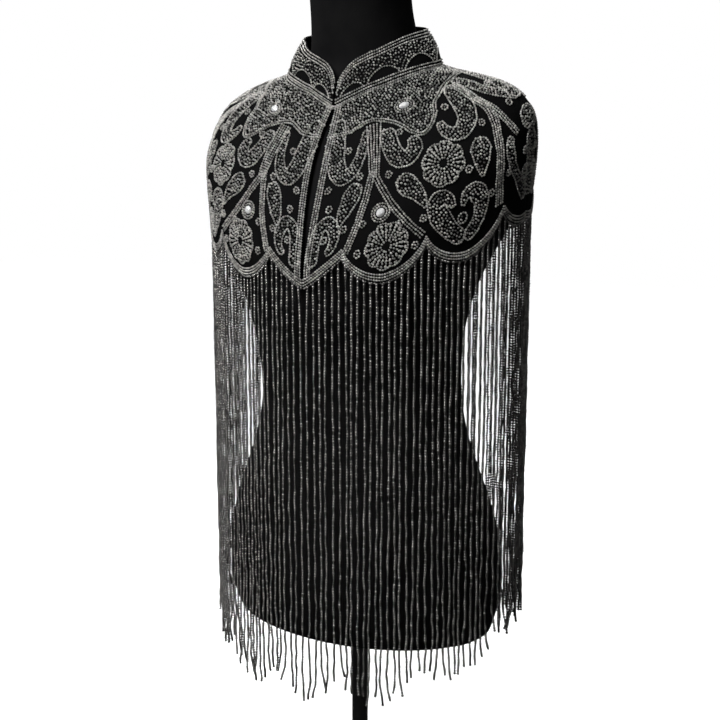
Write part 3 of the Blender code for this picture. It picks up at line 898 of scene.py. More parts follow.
def path_length(path):
    """Distance along the cloth to each place of a path."""
    steps = np.diff(path, axis=0) * scale_at(path)[1:]
    return np.concatenate(([0.0], np.cumsum(np.linalg.norm(steps, axis=1))))


def step_aside(path, offset):
    """A path moved sideways along the cloth by an offset at each place."""
    scale = scale_at(path)
    ahead = unit(np.gradient(path, axis=0) * scale + NEVER_ZERO)
    aside = np.stack((-ahead[:, 1], ahead[:, 0]), axis=-1)
    return path + aside * np.reshape(offset, (-1, 1)) / scale


def band_outline(path, widths, inset=0.0):
    """Closed outline of a band with round ends, drawn in by an inset."""
    run = path_length(path)
    half = np.interp(run / run[-1], np.linspace(0.0, 1.0, len(widths)), widths) * MM / 2
    to_end = np.minimum(run, run[-1] - run)
    rounding = np.sqrt(np.clip(1.0 - (1.0 - np.clip(to_end / half, 0.0, 1.0)) ** 2, 0.0, 1.0))
    half = np.maximum(half * rounding - inset, 0.0)
    if inset:
        keep = to_end >= inset
        path = path[keep]
        half = half[keep]
    return np.vstack((step_aside(path, half), step_aside(path, -half)[::-1]))


def around(centre, radii, angles):
    """Places at a radius in millimetres and an angle from a centre."""
    middle = np.array((centre[0], centre[1] * MM))
    width = cloth_width(middle[:1], middle[1:])[0]
    radii = np.asarray(radii, float) * MM
    turns = middle[0] + radii * np.cos(angles) / width
    return np.stack((turns, middle[1] + radii * np.sin(angles)), axis=-1)


def inside(outline, places):
    """True for the places that lie within a closed outline."""
    start_turn, start_drop = outline.T[:, :, None]
    end_turn, end_drop = np.roll(outline, -1, axis=0).T[:, :, None]
    turn, drop = places.T
    crossing = (start_drop > drop) != (end_drop > drop)
    rise = np.where(end_drop == start_drop, 1.0, end_drop - start_drop)
    meets = start_turn + (drop - start_drop) / rise * (end_turn - start_turn)
    return (crossing & (turn < meets)).sum(axis=0) % 2 == 1


# %% Motifs
ROW_SPACING = 2.9
ROW_INSET = 0.0011
RayRing = namedtuple("RayRing", "share rays turn")
RAY_RINGS = (RayRing(0.24, 12, 0.0), RayRing(0.46, 12, 0.5), RayRing(0.68, 24, 0.25))
RAY_STEPS = 6
RAY_END = 0.8
LOBE_DEPTH = 0.13
LOBE_POWER = 0.7
RING_STEPS = 33
ROSETTE_STEPS = 97


class Pattern:
    """Rows, filled outlines, bare outlines and single beads of a stretch of the yoke."""

    def __init__(self):
        self.rows = []
        self.fills = []
        self.bare = []
        self.singles = []

    def band(self, places, widths):
        """A filled leaf, loop or scroll with a bead outline."""
        path = smooth_path(places)
        self.fills.append(band_outline(path, widths))
        edge = band_outline(path, widths, ROW_INSET)
        self.rows.append(np.vstack((edge, edge[:1])))

    def ribbon(self, places, rows):
        """Rows of beads side by side along a path."""
        path = smooth_path(places)
        for row in range(rows):
            self.rows.append(step_aside(path, (row - (rows - 1) / 2) * ROW_SPACING * MM))

    def ring(self, centre, radius, stretch=1.0):
        """One closed row of beads round a centre."""
        angles = np.linspace(0.0, 2 * math.pi, RING_STEPS)
        wide = np.hypot(np.cos(angles) * stretch, np.sin(angles)) * radius
        bearing = np.arctan2(np.sin(angles), np.cos(angles) * stretch)
        self.rows.append(around(centre, wide, bearing))
        self.bare.append(around(centre, wide, bearing))

    def rosette(self, centre, radius, petals):
        """A flower: a lobed outline and rays of beads that multiply outwards."""
        angles = np.linspace(0.0, 2 * math.pi, ROSETTE_STEPS)
        lobe = np.abs(np.sin(petals * angles / 2)) ** LOBE_POWER
        lobes = radius * (1.0 - LOBE_DEPTH + LOBE_DEPTH * lobe)
        self.rows.append(around(centre, lobes, angles))
        self.bare.append(around(centre, lobes, angles))
        for ring in RAY_RINGS:
            for ray in range(ring.rays):
                angle = 2 * math.pi * (ray + ring.turn) / ring.rays
                outer = np.interp(angle % (2 * math.pi), angles, lobes) - ROW_SPACING * RAY_END
                reach = np.linspace(ring.share * radius, outer, RAY_STEPS)
                self.rows.append(around(centre, reach, np.full(RAY_STEPS, angle)))

    def disc(self, centre, radius):
        """A little filled round with a bead outline."""
        angles = np.linspace(0.0, 2 * math.pi, RING_STEPS)
        self.rows.append(around(centre, np.full(angles.shape, radius), angles))
        self.fills.append(around(centre, np.full(angles.shape, radius), angles))

    def spot(self, centre, radius):
        """A little ring of beads round one bead."""
        self.ring(centre, radius)
        self.singles.append(np.array((centre[0], centre[1] * MM)))


Band = namedtuple("Band", "name places widths")
BANDS = (
    Band(
        "edge loop",
        ((0.10, 24), (0.20, 55), (0.27, 80), (0.41, 97), (0.57, 95), (0.68, 83), (0.74, 67), (0.79, 52)),
        (21, 25, 23, 21, 18, 15, 11, 8),
    ),
    Band(
        "inner loop",
        ((1.13, 60), (1.16, 82), (1.23, 97), (1.33, 102), (1.43, 98), (1.48, 91), (1.46, 80)),
        (16, 19, 19, 20, 18, 17, 12),
    ),
    Band(
        "hook",
        ((2.37, 36), (2.29, 62), (2.24, 80), (2.16, 90), (2.05, 96), (1.94, 93), (1.88, 85), (1.88, 75)),
        (17, 24, 24, 23, 21, 18, 14, 9),
    ),
    Band("teardrop", ((2.24, 109), (2.20, 122), (2.18, 135), (2.17, 149)), (16, 25, 17, 3)),
    Band("blunt leaf", ((1.22, 118), (1.33, 130), (1.43, 141), (1.51, 157)), (19, 22, 15, 4)),
    Band("slim leaf", ((0.68, 109), (0.58, 122), (0.49, 136), (0.42, 150)), (17, 22, 17, 4)),
    Band(
        "left of the heart",
        ((1.83, 166), (1.75, 156), (1.66, 153), (1.62, 159), (1.67, 172), (1.80, 188), (1.96, 202)),
        (5, 16, 20, 22, 19, 17, 15),
    ),
    Band(
        "right of the heart",
        ((1.92, 168), (1.97, 158), (2.06, 157), (2.15, 166), (2.16, 179), (2.10, 191), (1.97, 202)),
        (5, 13, 20, 19, 17, 16, 15),
    ),
    Band(
        "shoulder loop",
        ((2.48, 32), (2.63, 47), (2.73, 69), (2.90, 86), (3.04, 94)),
        (10, 13, 15, 15, 15),
    ),
    Band("shoulder seam", ((3.0, 28), (3.0, 55), (3.0, 80), (3.0, 96)), (18, 15, 15, 18)),
    Band("shoulder leaf", ((3.02, 108), (2.95, 118), (2.86, 126)), (17, 24, 17)),
    Band(
        "side leaf",
        ((2.63, 125), (2.57, 134), (2.60, 152), (2.70, 168), (2.83, 187), (2.86, 197)),
        (9, 14, 11, 11, 15, 11),
    ),
    Band("side strip", ((3.0, 130), (3.0, 155), (3.0, 175), (3.0, 198)), (26, 23, 21, 22)),
    Band(
        "corner paisley",
        ((0.11, 182), (0.11, 157), (0.18, 143), (0.30, 142), (0.38, 154), (0.36, 167), (0.27, 173)),
        (14, 15, 15, 15, 14, 12, 8),
    ),
)
Ribbon = namedtuple("Ribbon", "name places rows")
RIBBONS = (
    Ribbon("stem to the front cusp", ((0.88, 104), (0.81, 123), (0.71, 146), (0.60, 167), (0.54, 177)), 3),
    Ribbon("stem to the next cusp", ((0.93, 110), (1.03, 127), (1.15, 147), (1.30, 166), (1.45, 181)), 3),
    Ribbon(
        "shoulder ribbon",
        ((2.44, 40), (2.46, 69), (2.51, 86), (2.49, 104), (2.44, 122), (2.40, 152), (2.42, 184)),
        4,
    ),
    Ribbon("shoulder branch", ((2.47, 71), (2.56, 88), (2.64, 111), (2.72, 125)), 3),
)
StemRow = namedtuple("StemRow", "scallop distance step")
STEM_ROWS = 5
STEM_TOP = StemRow(0.79, 50, 0.065)
STEM_FOOT = StemRow(0.85, 108, 0.03)
Rosette = namedtuple("Rosette", "centre radius petals")
ROSETTES = (Rosette((1.75, 120), 22.5, 8), Rosette((1.04, 182), 22.5, 9))
BACK_ROSETTE = Rosette((BACK, 126), 19.0, 8)
Disc = namedtuple("Disc", "centre radius")
DISCS = (Disc((2.86, 169), 7.0), Disc((1.93, 179), 5.0))
SPOTS = (
    (1.31, 70), (2.04, 61), (2.80, 95), (2.02, 135), (2.34, 97), (1.47, 166), (1.20, 164),
    (1.37, 189), (1.10, 112), (2.53, 157), (2.83, 147), (0.75, 154), (0.20, 106), (0.26, 127),
    (0.69, 104), (0.50, 153), (0.69, 182), (0.47, 70), (2.87, 62), (2.29, 168), (0.24, 158),
)
SPOT_RADIUS = 3.2
NECK_LIMIT = (
    (0.0, 44), (0.25, 48), (0.45, 50), (0.63, 48), (0.81, 46), (1.02, 49), (1.22, 57), (1.36, 67),
    (1.45, 76), (1.56, 83), (1.66, 84), (1.79, 77), (1.92, 64), (1.98, 53), (2.10, 46), (2.33, 36),
    (2.6, 32), (3.0, 31),
)
NECK_TOP = 4.0
NECK_LIMIT_ROWS = 2


def draw_pattern():
    """Lay every motif of one quarter on the chart."""
    pattern = Pattern()
    for band in BANDS:
        pattern.band(band.places, band.widths)
    for ribbon in RIBBONS:
        pattern.ribbon(ribbon.places, ribbon.rows)
    for row in range(STEM_ROWS):
        top = (STEM_TOP.scallop + STEM_TOP.step * row, STEM_TOP.distance)
        foot = (STEM_FOOT.scallop + STEM_FOOT.step * row, STEM_FOOT.distance)
        pattern.rows.append(smooth_path((top, foot)))
    for rosette in ROSETTES:
        pattern.rosette(*rosette)
    for disc in DISCS:
        pattern.disc(*disc)
    for spot in SPOTS:
        pattern.spot(spot, SPOT_RADIUS)
    limit = smooth_path(NECK_LIMIT)
    for row in range(NECK_LIMIT_ROWS):
        pattern.rows.append(step_aside(limit, -(0.5 + row) * ROW_SPACING * MM))
    top = np.array(((SHOULDER, NECK_TOP * MM), (0.0, NECK_TOP * MM)))
    pattern.fills.append(np.vstack((limit, top)))
    return pattern


PATTERN = draw_pattern()
print("bands and ribbons:", ", ".join(motif.name for motif in BANDS + RIBBONS))
print("pattern rows:", len(PATTERN.rows), "filled outlines:", len(PATTERN.fills))

# %% Edges of the cloth
EDGE_INSETS = (0.0013, 0.0042, 0.0071)
EDGE_STEPS_PER_SCALLOP = 48
NECK_ROWS = (0.0022, 0.0050)
OPENING_ROW_END = 0.004
OPENING_ROW_STEPS = 90
NEAR_OPENING = 0.2


def hem_rows(start, end):
    """Three rows of beads that follow the scallops."""
    turns = np.linspace(start, end, round((end - start) * EDGE_STEPS_PER_SCALLOP) + 1)
    return [np.stack((turns, hem_cut(turns) - inset), axis=-1) for inset in EDGE_INSETS]


def neck_rows(start, end):
    """Rows of beads below the collar's foot."""
    turns = np.linspace(start, end, round((end - start) * EDGE_STEPS_PER_SCALLOP) + 1)
    return [np.stack((turns, np.full(turns.shape, down)), axis=-1) for down in NECK_ROWS]


def opening_rows(side):
    """Rows of beads down a front edge."""
    foot = float(hem_cut(OPENING_SCALLOP)) - 2 * OPENING_ROW_END
    down = np.linspace(OPENING_ROW_END, foot, OPENING_ROW_STEPS)
    width = cloth_width(np.full(down.shape, NEAR_OPENING), down)
    rows = []
    for inset in EDGE_INSETS:
        rows.append(np.stack((side * (inset / width + OPENING_SCALLOP), down), axis=-1))
    return rows


# %% Rings round the stones
Setting = namedtuple("Setting", "scallop share half_width half_height rise rings")
SETTINGS = {
    "upper": Setting(1.50, 0.205, 0.0056, 0.0040, 0.0028, (1.9, 4.6)),
    "lower": Setting(0.98, 0.685, 0.0045, 0.0045, 0.0028, (1.9, 4.6)),
}


def stone_turn(setting, side, back):
    """Place of a stone round the hem."""
    return side * (BACK - setting.scallop if back else setting.scallop)


def stone_rings(side, back):
    """Two rows of beads round each stone of a quarter."""
    rings = Pattern()
    for setting in SETTINGS.values():
        turn = stone_turn(setting, side, back)
        down = float(hem_cut(turn)) * setting.share / MM
        for gap in setting.rings:
            high = setting.half_height / MM + gap
            wide = setting.half_width / MM + gap
            rings.ring((turn, down), high, wide / high)
    return rings.rows


# %% Carriers for the yoke's beads
CELL_SCALLOP = 1 / 44
CELL_DROP = 0.0014
CLEAR_OF_ROWS = 0.0021
BEAD_RADIUS = 0.0011
BEAD_LIFT = 0.0008
FILL_END_SCALLOP = 2


def in_quarter(places, side, back):
    """A quarter's places, mirrored to its side and turned to the back."""
    turn = np.clip(places[:, 0], 2 * OPENING_SCALLOP, SHOULDER - SEAM_SCALLOP)
    distance = places[:, 1]
    if back:
        opposite = BACK - turn
        distance = distance * tip_cut(opposite) / tip_cut(turn)
        turn = opposite
    return np.stack((side * turn, distance), axis=-1)


def wobble(path, chance):
    """A path as a hand would sew it, a little off its line."""
    noise = chance.normal(0.0, HAND_WOBBLE, path.shape)
    noise = (noise + np.roll(noise, 1, axis=0) + np.roll(noise, 2, axis=0)) / math.sqrt(3)
    return path + noise / scale_at(np.abs(path))


def cut_row(path):
    """The stretches of a pattern row that lie on the cloth and in its quarter."""
    keep = (path[:, 0] >= 0.0) & (path[:, 0] <= SHOULDER)
    keep &= path[:, 1] < hem_cut(path[:, 0]) - EDGE_INSETS[-1] - BEAD_RADIUS
    breaks = np.flatnonzero(np.diff(keep.astype(int))) + 1
    stretches = zip(np.split(path, breaks), np.split(keep, breaks))
    return [part for part, good in stretches if good[0] and len(part) > 1]


def fill_cells(pattern):
    """Corners of the small cells of ground that are to be filled with beads."""
    turns = np.arange(0.0, SHOULDER, CELL_SCALLOP)
    drops = np.arange(0.0, float(tip_cut(FILL_END_SCALLOP)), CELL_DROP)
    grid = np.stack(np.meshgrid(turns, drops, indexing="ij"), axis=-1).reshape(-1, 2)
    middle = grid + np.array((CELL_SCALLOP, CELL_DROP)) / 2
    wanted = np.zeros(len(grid), dtype=bool)
    for outline in pattern.fills:
        wanted |= inside(outline, middle)
    for outline in pattern.bare:
        wanted &= ~inside(outline, middle)
    wanted &= middle[:, 1] < hem_cut(middle[:, 0]) - EDGE_INSETS[-1] - BEAD_RADIUS
    corners = np.array(((0, 0), (0, 1), (1, 1), (1, 0))) * (CELL_SCALLOP, CELL_DROP)
    return grid[wanted][:, None, :] + corners[None, :, :]


def clear_cells(cells, row_points, distance):
    """Leave out the cells that lie within a bead of a row."""
    tree = kdtree.KDTree(len(row_points))
    for index, point in enumerate(row_points):
        tree.insert(point, index)
    tree.balance()
    return np.array([tree.find(cell.mean(axis=0))[2] > distance for cell in cells])


def carrier_mesh(name, rows, cells, singles):
    """Loose edges for rows, faces for filled ground, loose points for single beads."""
    points = []
    edges = []
    faces = []
    count = 0
    for row in rows:
        points.append(row)
        edges += [(count + step, count + step + 1) for step in range(len(row) - 1)]
        count += len(row)
    for cell in cells:
        points.append(cell)
        faces.append((count, count + 1, count + 2, count + 3))
        count += 4
    points += [single[None, :] for single in singles]
    mesh = bpy.data.meshes.new(name)
    mesh.from_pydata(np.vstack(points).tolist(), edges, faces)
    return mesh


def quarter_beads(side, back, chance):
    """Rows, cells and single beads of one quarter, in space."""
    rings = stone_rings(side, back)
    rows = list(rings)
    for path in PATTERN.rows:
        for part in cut_row(path):
            rows.append(wobble(in_quarter(part, side, back), chance))
    cells = in_quarter(FILL_CELLS.reshape(-1, 2), side, back).reshape(-1, 4, 2)
    for ring in rings:
        cells = cells[~inside(ring, cells.mean(axis=1))]
    cells = cloth_point(cells[..., 0], cells[..., 1], BEAD_LIFT)
    singles = in_quarter(np.array(PATTERN.singles), side, back)
    singles = cloth_point(singles[:, 0], singles[:, 1], BEAD_LIFT)
    return rows, cells, singles


FILL_CELLS = fill_cells(PATTERN)
EMBROIDERY_SIZES = {
    "Row Pitch": 0.0027,
    "Fill Spacing": 0.0028,
    "Fill Density": 700000.0,
    "Material": SILVER_BEAD,
}


def bead_piece(name, rows, cells, singles, radius, seed):
    """Beads in rows, in the cells that lie clear of them and on single points, as one piece."""
    cells = cells[clear_cells(cells, np.vstack(rows), CLEAR_OF_ROWS)]
    values = {**EMBROIDERY_SIZES, "Row Radius": radius, "Fill Radius": radius, "Seed": seed}
    piece = run_tree(name, carrier_mesh(name, rows, cells, singles), EMBROIDERY, values)
    print(name, "triangles:", len(piece.data.polygons))
    return join_part(piece)


def panel_beads(name, quarters, seed):
    """All the beads of one panel of the yoke, as one piece."""
    chance = np.random.default_rng(PATTERN_SEED + seed)
    panel = PANELS[name]
    rows = hem_rows(panel.start, panel.end) + neck_rows(panel.start, panel.end)
    cells = []
    singles = []
    for side, back in quarters:
        quarter = quarter_beads(side, back, chance)
        rows += quarter[0]
        cells.append(quarter[1])
        singles.append(quarter[2])
        if not back:
            rows += opening_rows(side)
    if name == "back":
        middle = Pattern()
        middle.rosette(*BACK_ROSETTE)
        rows += middle.rows
    rows = [cloth_point(row[:, 0], row[:, 1], BEAD_LIFT) for row in rows]
    cells = np.concatenate(cells)
    return bead_piece(f"{name}_beads", rows, cells, np.vstack(singles), BEAD_RADIUS, seed)


BEADS = {
    "front_left": panel_beads("front_left", ((LEFT, False),), seed=1),
    "front_right": panel_beads("front_right", ((RIGHT, False),), seed=2),
    "back": panel_beads("back", ((LEFT, True), (RIGHT, True)), seed=3),
}

# %% [markdown]
# ## Beading of the collar
# The collar has three rows of beads along its top and front edges, two at its
# foot, a close filling, and a line of bare, leaf-shaped gaps just above the foot.
# The gaps could be cut out of the filling by hand, but each is only an arch over
# a straight line. The collar has a chart of its own, along the neckline and up
# the band, and the same tree sews its beads, which are a little smaller.

# %% Rows, gaps and filling of the collar
GAP_FIRST = 1.20
GAP_STEP = 0.96
GAP_HALF = 0.40
GAP_FRONT = (0.40, 0.27)
GAP_FOOT = 0.0058
GAP_RISE = 0.0098
GAP_STEPS = 25
GAP_POWER = 0.7
COLLAR_CELLS = 560
COLLAR_CELL_ROWS = 30
COLLAR_END = 0.02
COLLAR_SLANT = 1.8
FOOT_ROWS = (0.0012, 0.0041)
COLLAR_BEAD_RADIUS = 0.00097


def collar_gaps():
    """Centre and half length of every bare leaf, in scallops."""
    gaps = [GAP_FRONT, (SCALLOPS - GAP_FRONT[0], GAP_FRONT[1])]
    steps = round((BACK - GAP_FIRST) / GAP_STEP)
    for step in range(2 * steps + 1):
        gaps.append((GAP_FIRST + GAP_STEP * step, GAP_HALF))
    return gaps


def gap_outline(centre, half):
    """A leaf with a straight foot and an arched top."""
    along = np.linspace(-1.0, 1.0, GAP_STEPS)
    turns = centre + along * half
    bow = np.clip(np.cos(along * math.pi / 2), 0.0, 1.0) ** GAP_POWER
    arch = GAP_FOOT + GAP_RISE * bow * half / GAP_HALF
    top = np.stack((turns, np.minimum(arch, collar_height(turns) - EDGE_INSETS[-1])), axis=-1)
    return top, np.vstack((top, [(turns[-1], GAP_FOOT), (turns[0], GAP_FOOT)]))


def collar_rows():
    """Rows along the top and the foot and over the gaps, and the gaps' outlines."""
    turns = np.linspace(COLLAR_END, SCALLOPS - COLLAR_END, SCALLOPS * EDGE_STEPS_PER_SCALLOP)
    tall = collar_height(turns)
    steep = np.gradient(tall) / (np.gradient(turns) * SCALLOP_WIDTH / 2)
    slant = np.minimum(np.hypot(1.0, steep), COLLAR_SLANT)
    rows = [np.stack((turns, tall - inset * slant), axis=-1) for inset in EDGE_INSETS]
    rows += [np.stack((turns, np.full(turns.shape, height)), axis=-1) for height in FOOT_ROWS]
    outlines = []
    for centre, half in collar_gaps():
        top, outline = gap_outline(centre, half)
        rows.append(top)
        outlines.append(outline)
    return rows, outlines


def collar_cells(outlines):
    """Small cells of the collar's ground outside the gaps."""
    turns = np.linspace(COLLAR_END, SCALLOPS - COLLAR_END, COLLAR_CELLS)
    shares = np.linspace(0.0, 1.0, COLLAR_CELL_ROWS)
    grid = np.stack(np.meshgrid(turns, shares, indexing="ij"), axis=-1)
    grid[..., 1] *= collar_height(turns)[:, None]
    corners = (grid[:-1, :-1], grid[1:, :-1], grid[1:, 1:], grid[:-1, 1:])
    cells = np.stack(corners, axis=-2).reshape(-1, 4, 2)
    middle = cells.mean(axis=1)
    wanted = middle[:, 1] > FOOT_ROWS[0]
    for outline in outlines:
        wanted &= ~inside(outline, middle)
    return cells[wanted]


def collar_beads(seed):
    """All the beads of the collar, as one piece."""
    rows, gaps = collar_rows()
    rows = [collar_point(row[:, 0], row[:, 1], BEAD_LIFT) for row in rows]
    cells = collar_cells(gaps)
    cells = collar_point(cells[..., 0], cells[..., 1], BEAD_LIFT)
    return bead_piece("collar_beads", rows, cells, [], COLLAR_BEAD_RADIUS, seed)


BEADS["collar"] = collar_beads(seed=4)

# %% [markdown]
# ## Fringe of beaded strings
# Below every scallop hangs a strip of strings, each a thread full of small dark
# beads. The strings could be simulated, but they hang plumb and only lean a
# little, so each is a path from the hem to its loose end, with the same length
# and lean as in the solid, a slight wander, and a bent tip. The strings are a
# little longer towards the wearer's right. A second, shorter tree threads beads
# along all the paths of a strip.

# %% A tree for strings
STRING_SIDES = 5
STRING_RINGS = 3
STRING_HALF_LENGTH = 0.55


def string_tree():
    """Long beads end to end along loose edges."""
    inputs = {"Bead Pitch": "Float", "Bead Radius": "Float", "Seed": "Int", "Material": "Material"}
    tree, start, end = new_tree("bead_strings", inputs)
    pitch = start.outputs["Bead Pitch"]
    radius = start.outputs["Bead Radius"]
    seed = start.outputs["Seed"]
    points, turn = bead_rows(tree, start.outputs["Geometry"], True, pitch)
    ball = add_node(
        tree, "GeometryNodeMeshUVSphere", Segments=STRING_SIDES, Rings=STRING_RINGS, Radius=1.0
    )
    size = (radius, radius, times(tree, pitch, STRING_HALF_LENGTH))
    beads = bead_instances(tree, points, ball.outputs["Mesh"], turn, size, seed, 0.0)
    close_tree(tree, (beads,), start.outputs["Material"], end)
    return tree


STRINGS = string_tree()
print("string tree nodes:", len(STRINGS.nodes))

# %% Strings below every scallop
STRANDS_PER_SCALLOP = 13
STRANDS_PER_POINT = 6
STRAND_LENGTH = 0.447
STRAND_SLOPE = 0.04
STRAND_UNEVEN = 0.006
STRAND_SWAY = 0.0014
STRAND_BEND_AT = 0.35
STRAND_BENDS = 2
STRAND_SEED = 11
BACKING_GAP = 0.0007
BACKING_HEIGHT = 0.0024
BACKING_ENDS = 0.006
HEAD_STEPS_PER_STRAND = 5
STRING_STEPS = 96
WanderBend = namedtuple("WanderBend", "fewest most size")
WANDER_BENDS = (WanderBend(2.0, 4.0, 0.7), WanderBend(6.0, 11.0, 0.6), WanderBend(14.0, 25.0, 0.45))
WANDER_START = 0.05
WANDER_EVEN = 0.5
WANDER_LOW = 0.7
STRING_WANDER = 0.0007
TIP_BEND = 0.0035
TIP_SHARE = 0.06
TIP_POWER = 1.4
CLOSING_TURN = 0.1
CLOSING_LEAN = 0.0018
CLOSING_SHARE = 0.08
STRING_SIZES = {"Bead Pitch": 0.0029, "Bead Radius": 0.0018, "Material": STRING_BEAD}


def wander(share, loose):
    """Slight bends of a string, stronger towards its loose end."""
    bends = np.zeros(share.shape)
    for bend in WANDER_BENDS:
        turns = loose.uniform(bend.fewest, bend.most)
        phase = loose.uniform(0.0, 2 * math.pi)
        bends += bend.size * np.sin(2 * math.pi * turns * share + phase)
    growth = np.minimum(share / WANDER_START, 1.0) * (WANDER_EVEN + WANDER_LOW * share**2)
    return bends * STRING_WANDER * growth


def string_path(turn, chance, loose):
    """One string from the backing to its bent tip."""
    drop = float(hem_cut(turn)) + BACKING_GAP + BACKING_HEIGHT
    place, across, down, out = (part[0] for part in cloth_frame([turn], [drop]))
    top = place + out * CLOTH_WALL / 2
    across = unit(across * np.array((1.0, 1.0, 0.0)))
    ahead = np.array((across[1], -across[0], 0.0))
    length = STRAND_LENGTH - STRAND_SLOPE * top[0] + chance.uniform(-STRAND_UNEVEN, STRAND_UNEVEN)
    sways = [0.0] + [chance.uniform(-STRAND_SWAY, STRAND_SWAY) for bend in range(STRAND_BENDS)]
    share = np.linspace(0.0, 1.0, STRING_STEPS)
    lean = np.interp(share, (0.0, STRAND_BEND_AT, 1.0), sways)
    tip_across, tip_ahead = loose.uniform(-1.0, 1.0, 2)
    tip = np.clip((share - 1.0 + TIP_SHARE) / TIP_SHARE, 0.0, 1.0) ** TIP_POWER * TIP_BEND
    aside = lean + wander(share, loose) + tip * tip_across
    if abs(turn) < CLOSING_TURN:
        aside -= math.copysign(CLOSING_LEAN, turn) * np.minimum(share / CLOSING_SHARE, 1.0)
    forward = wander(share, loose) + tip * tip_ahead
    path = top + across * aside[:, None] + ahead * forward[:, None]
    path[:, 2] -= share * length
    return path


def hang_fringe(name, start, end, strands, chance, loose):
    """A strip's strings and the row of beads that heads them."""
    turns = [start + (end - start) * (strand + 0.5) / strands for strand in range(strands)]
    paths = [string_path(turn, chance, loose) for turn in turns]
    along = np.linspace(start, end, strands * HEAD_STEPS_PER_STRAND)
    middle = BACKING_GAP + BACKING_HEIGHT / 2
    paths.append(cloth_point(along, hem_cut(along) + middle, -CLOTH_WALL / 2))
    mesh = carrier_mesh(f"{name}_strings", paths, [], [])
    seed = STRAND_SEED + len(FRINGE)
    piece = run_tree(f"{name}_strings", mesh, STRINGS, {**STRING_SIZES, "Seed": seed})
    FRINGE[name] = join_part(piece, name)


FRINGE = {}
chance = random.Random(STRAND_SEED)
loose = np.random.default_rng(STRAND_SEED)
point = HALF_SCALLOP - BACKING_ENDS
hang_fringe("fringe_front_left", BACKING_ENDS, point, STRANDS_PER_POINT, chance, loose)
hang_fringe("fringe_front_right", -point, -BACKING_ENDS, STRANDS_PER_POINT, chance, loose)
for scallop in range(1, SCALLOPS):
    name = "fringe_back"
    if scallop < BACK:
        name = f"fringe_left_{scallop}"
    elif scallop > BACK:
        name = f"fringe_right_{SCALLOPS - scallop}"
    hang_fringe(name, scallop - point, scallop + point, STRANDS_PER_SCALLOP, chance, loose)
print("fringe triangles:", sum(len(piece.data.polygons) for piece in FRINGE.values()))

# %% [markdown]
# ## Set stones
# Eight clear stones are sewn into the beading. The solids are plain domes, so
# each gets a cut stone in its place: a flat table, a ring of slanted facets and a
# narrow girdle, shaded flat so that every facet catches the light by itself.

# %% Cut stones
STONE_SIDES = 12
StoneRing = namedtuple("StoneRing", "size height turn")
STONE_RINGS = (
    StoneRing(0.96, 0.00, 0.0),
    StoneRing(1.00, 0.30, 0.0),
    StoneRing(0.86, 0.66, 0.5),
    StoneRing(0.52, 1.00, 0.0),
)


def cut_stone(name, node, turn, setting):
    """A faceted stone on the cloth in place of a dome."""
    down = [float(hem_cut(turn)) * setting.share]
    place, across, along, out = (part[0] for part in cloth_frame([turn], down))
    foot = place + out * (CLOTH_WALL + SEAM_GAP)
    stone = bmesh.new()
    loops = []
    for ring in STONE_RINGS:
        loop = []
        for side in range(STONE_SIDES):
            angle = 2 * math.pi * (side + ring.turn) / STONE_SIDES
            wide = across * math.cos(angle) * setting.half_width * ring.size
            tall = along * math.sin(angle) * setting.half_height * ring.size
            loop.append(stone.verts.new(foot + wide + tall + out * setting.rise * ring.height))
        loops.append(loop)
    for lower, upper in zip(loops, loops[1:]):
        for side in range(STONE_SIDES):
            following = (side + 1) % STONE_SIDES
            stone.faces.new((lower[side], lower[following], upper[following]))
            stone.faces.new((lower[side], upper[following], upper[side]))
    stone.faces.new(loops[0])
    stone.faces.new(loops[-1])
    bmesh.ops.recalc_face_normals(stone, faces=stone.faces[:])
    mesh = shape_mesh(name, stone)
    mesh.materials.append(STONE)
    return join_part(link_piece(name, mesh), node)


STONES = {"front_left": [], "front_right": [], "back": []}
for level, setting in SETTINGS.items():
    for word, side in SIDES.items():
        for panel, place in ((f"front_{word}", f"front_{word}"), ("back", f"back_{word}")):
            turn = stone_turn(setting, side, panel == "back")
            stone = cut_stone(f"cut_{level}_{place}", f"stone_{level}_{place}", turn, setting)
            STONES[panel].append(stone)
print("stones:", sum(len(group) for group in STONES.values()))

# %% [markdown]


# %% [markdown]
# ## Floor, light and camera
# The part stands on a plain white floor that runs into a white backdrop. Only the
# camera sees the backdrop, so the light on the part comes from three soft lamps
# and a dim sky, and black stays black. The camera stands a little to the wearer's
# left and above the middle of the form.

# %% Stage
FLOOR_SIZE = 12.0
BACKDROP_RADIUS = 9.0
BACKDROP_SIDES = 32
BACKDROP_RINGS = 16
# The floor glows less within SHADE_END of the foot: a painted shade round the foot, on top of the real
# shadow that the lamps cast there.
SHADE_START = 0.15
SHADE_END = 0.21
SHADE_GLOW = 0.55
WHITE = (1.0, 1.0, 1.0, 1.0)
PALE = (0.8, 0.8, 0.8, 1.0)
BLACK = (0.0, 0.0, 0.0, 1.0)


def glowing_finish(name, colour, roughness):
    """A matt surface with a white glow of its own."""
    material, tree, shader = new_material(name)
    set_inputs(tree, shader, Base_Color=colour, Roughness=roughness)
    set_inputs(tree, shader, Specular_IOR_Level=0.0, Emission_Color=WHITE, Emission_Strength=1.0)
    return material, tree, shader


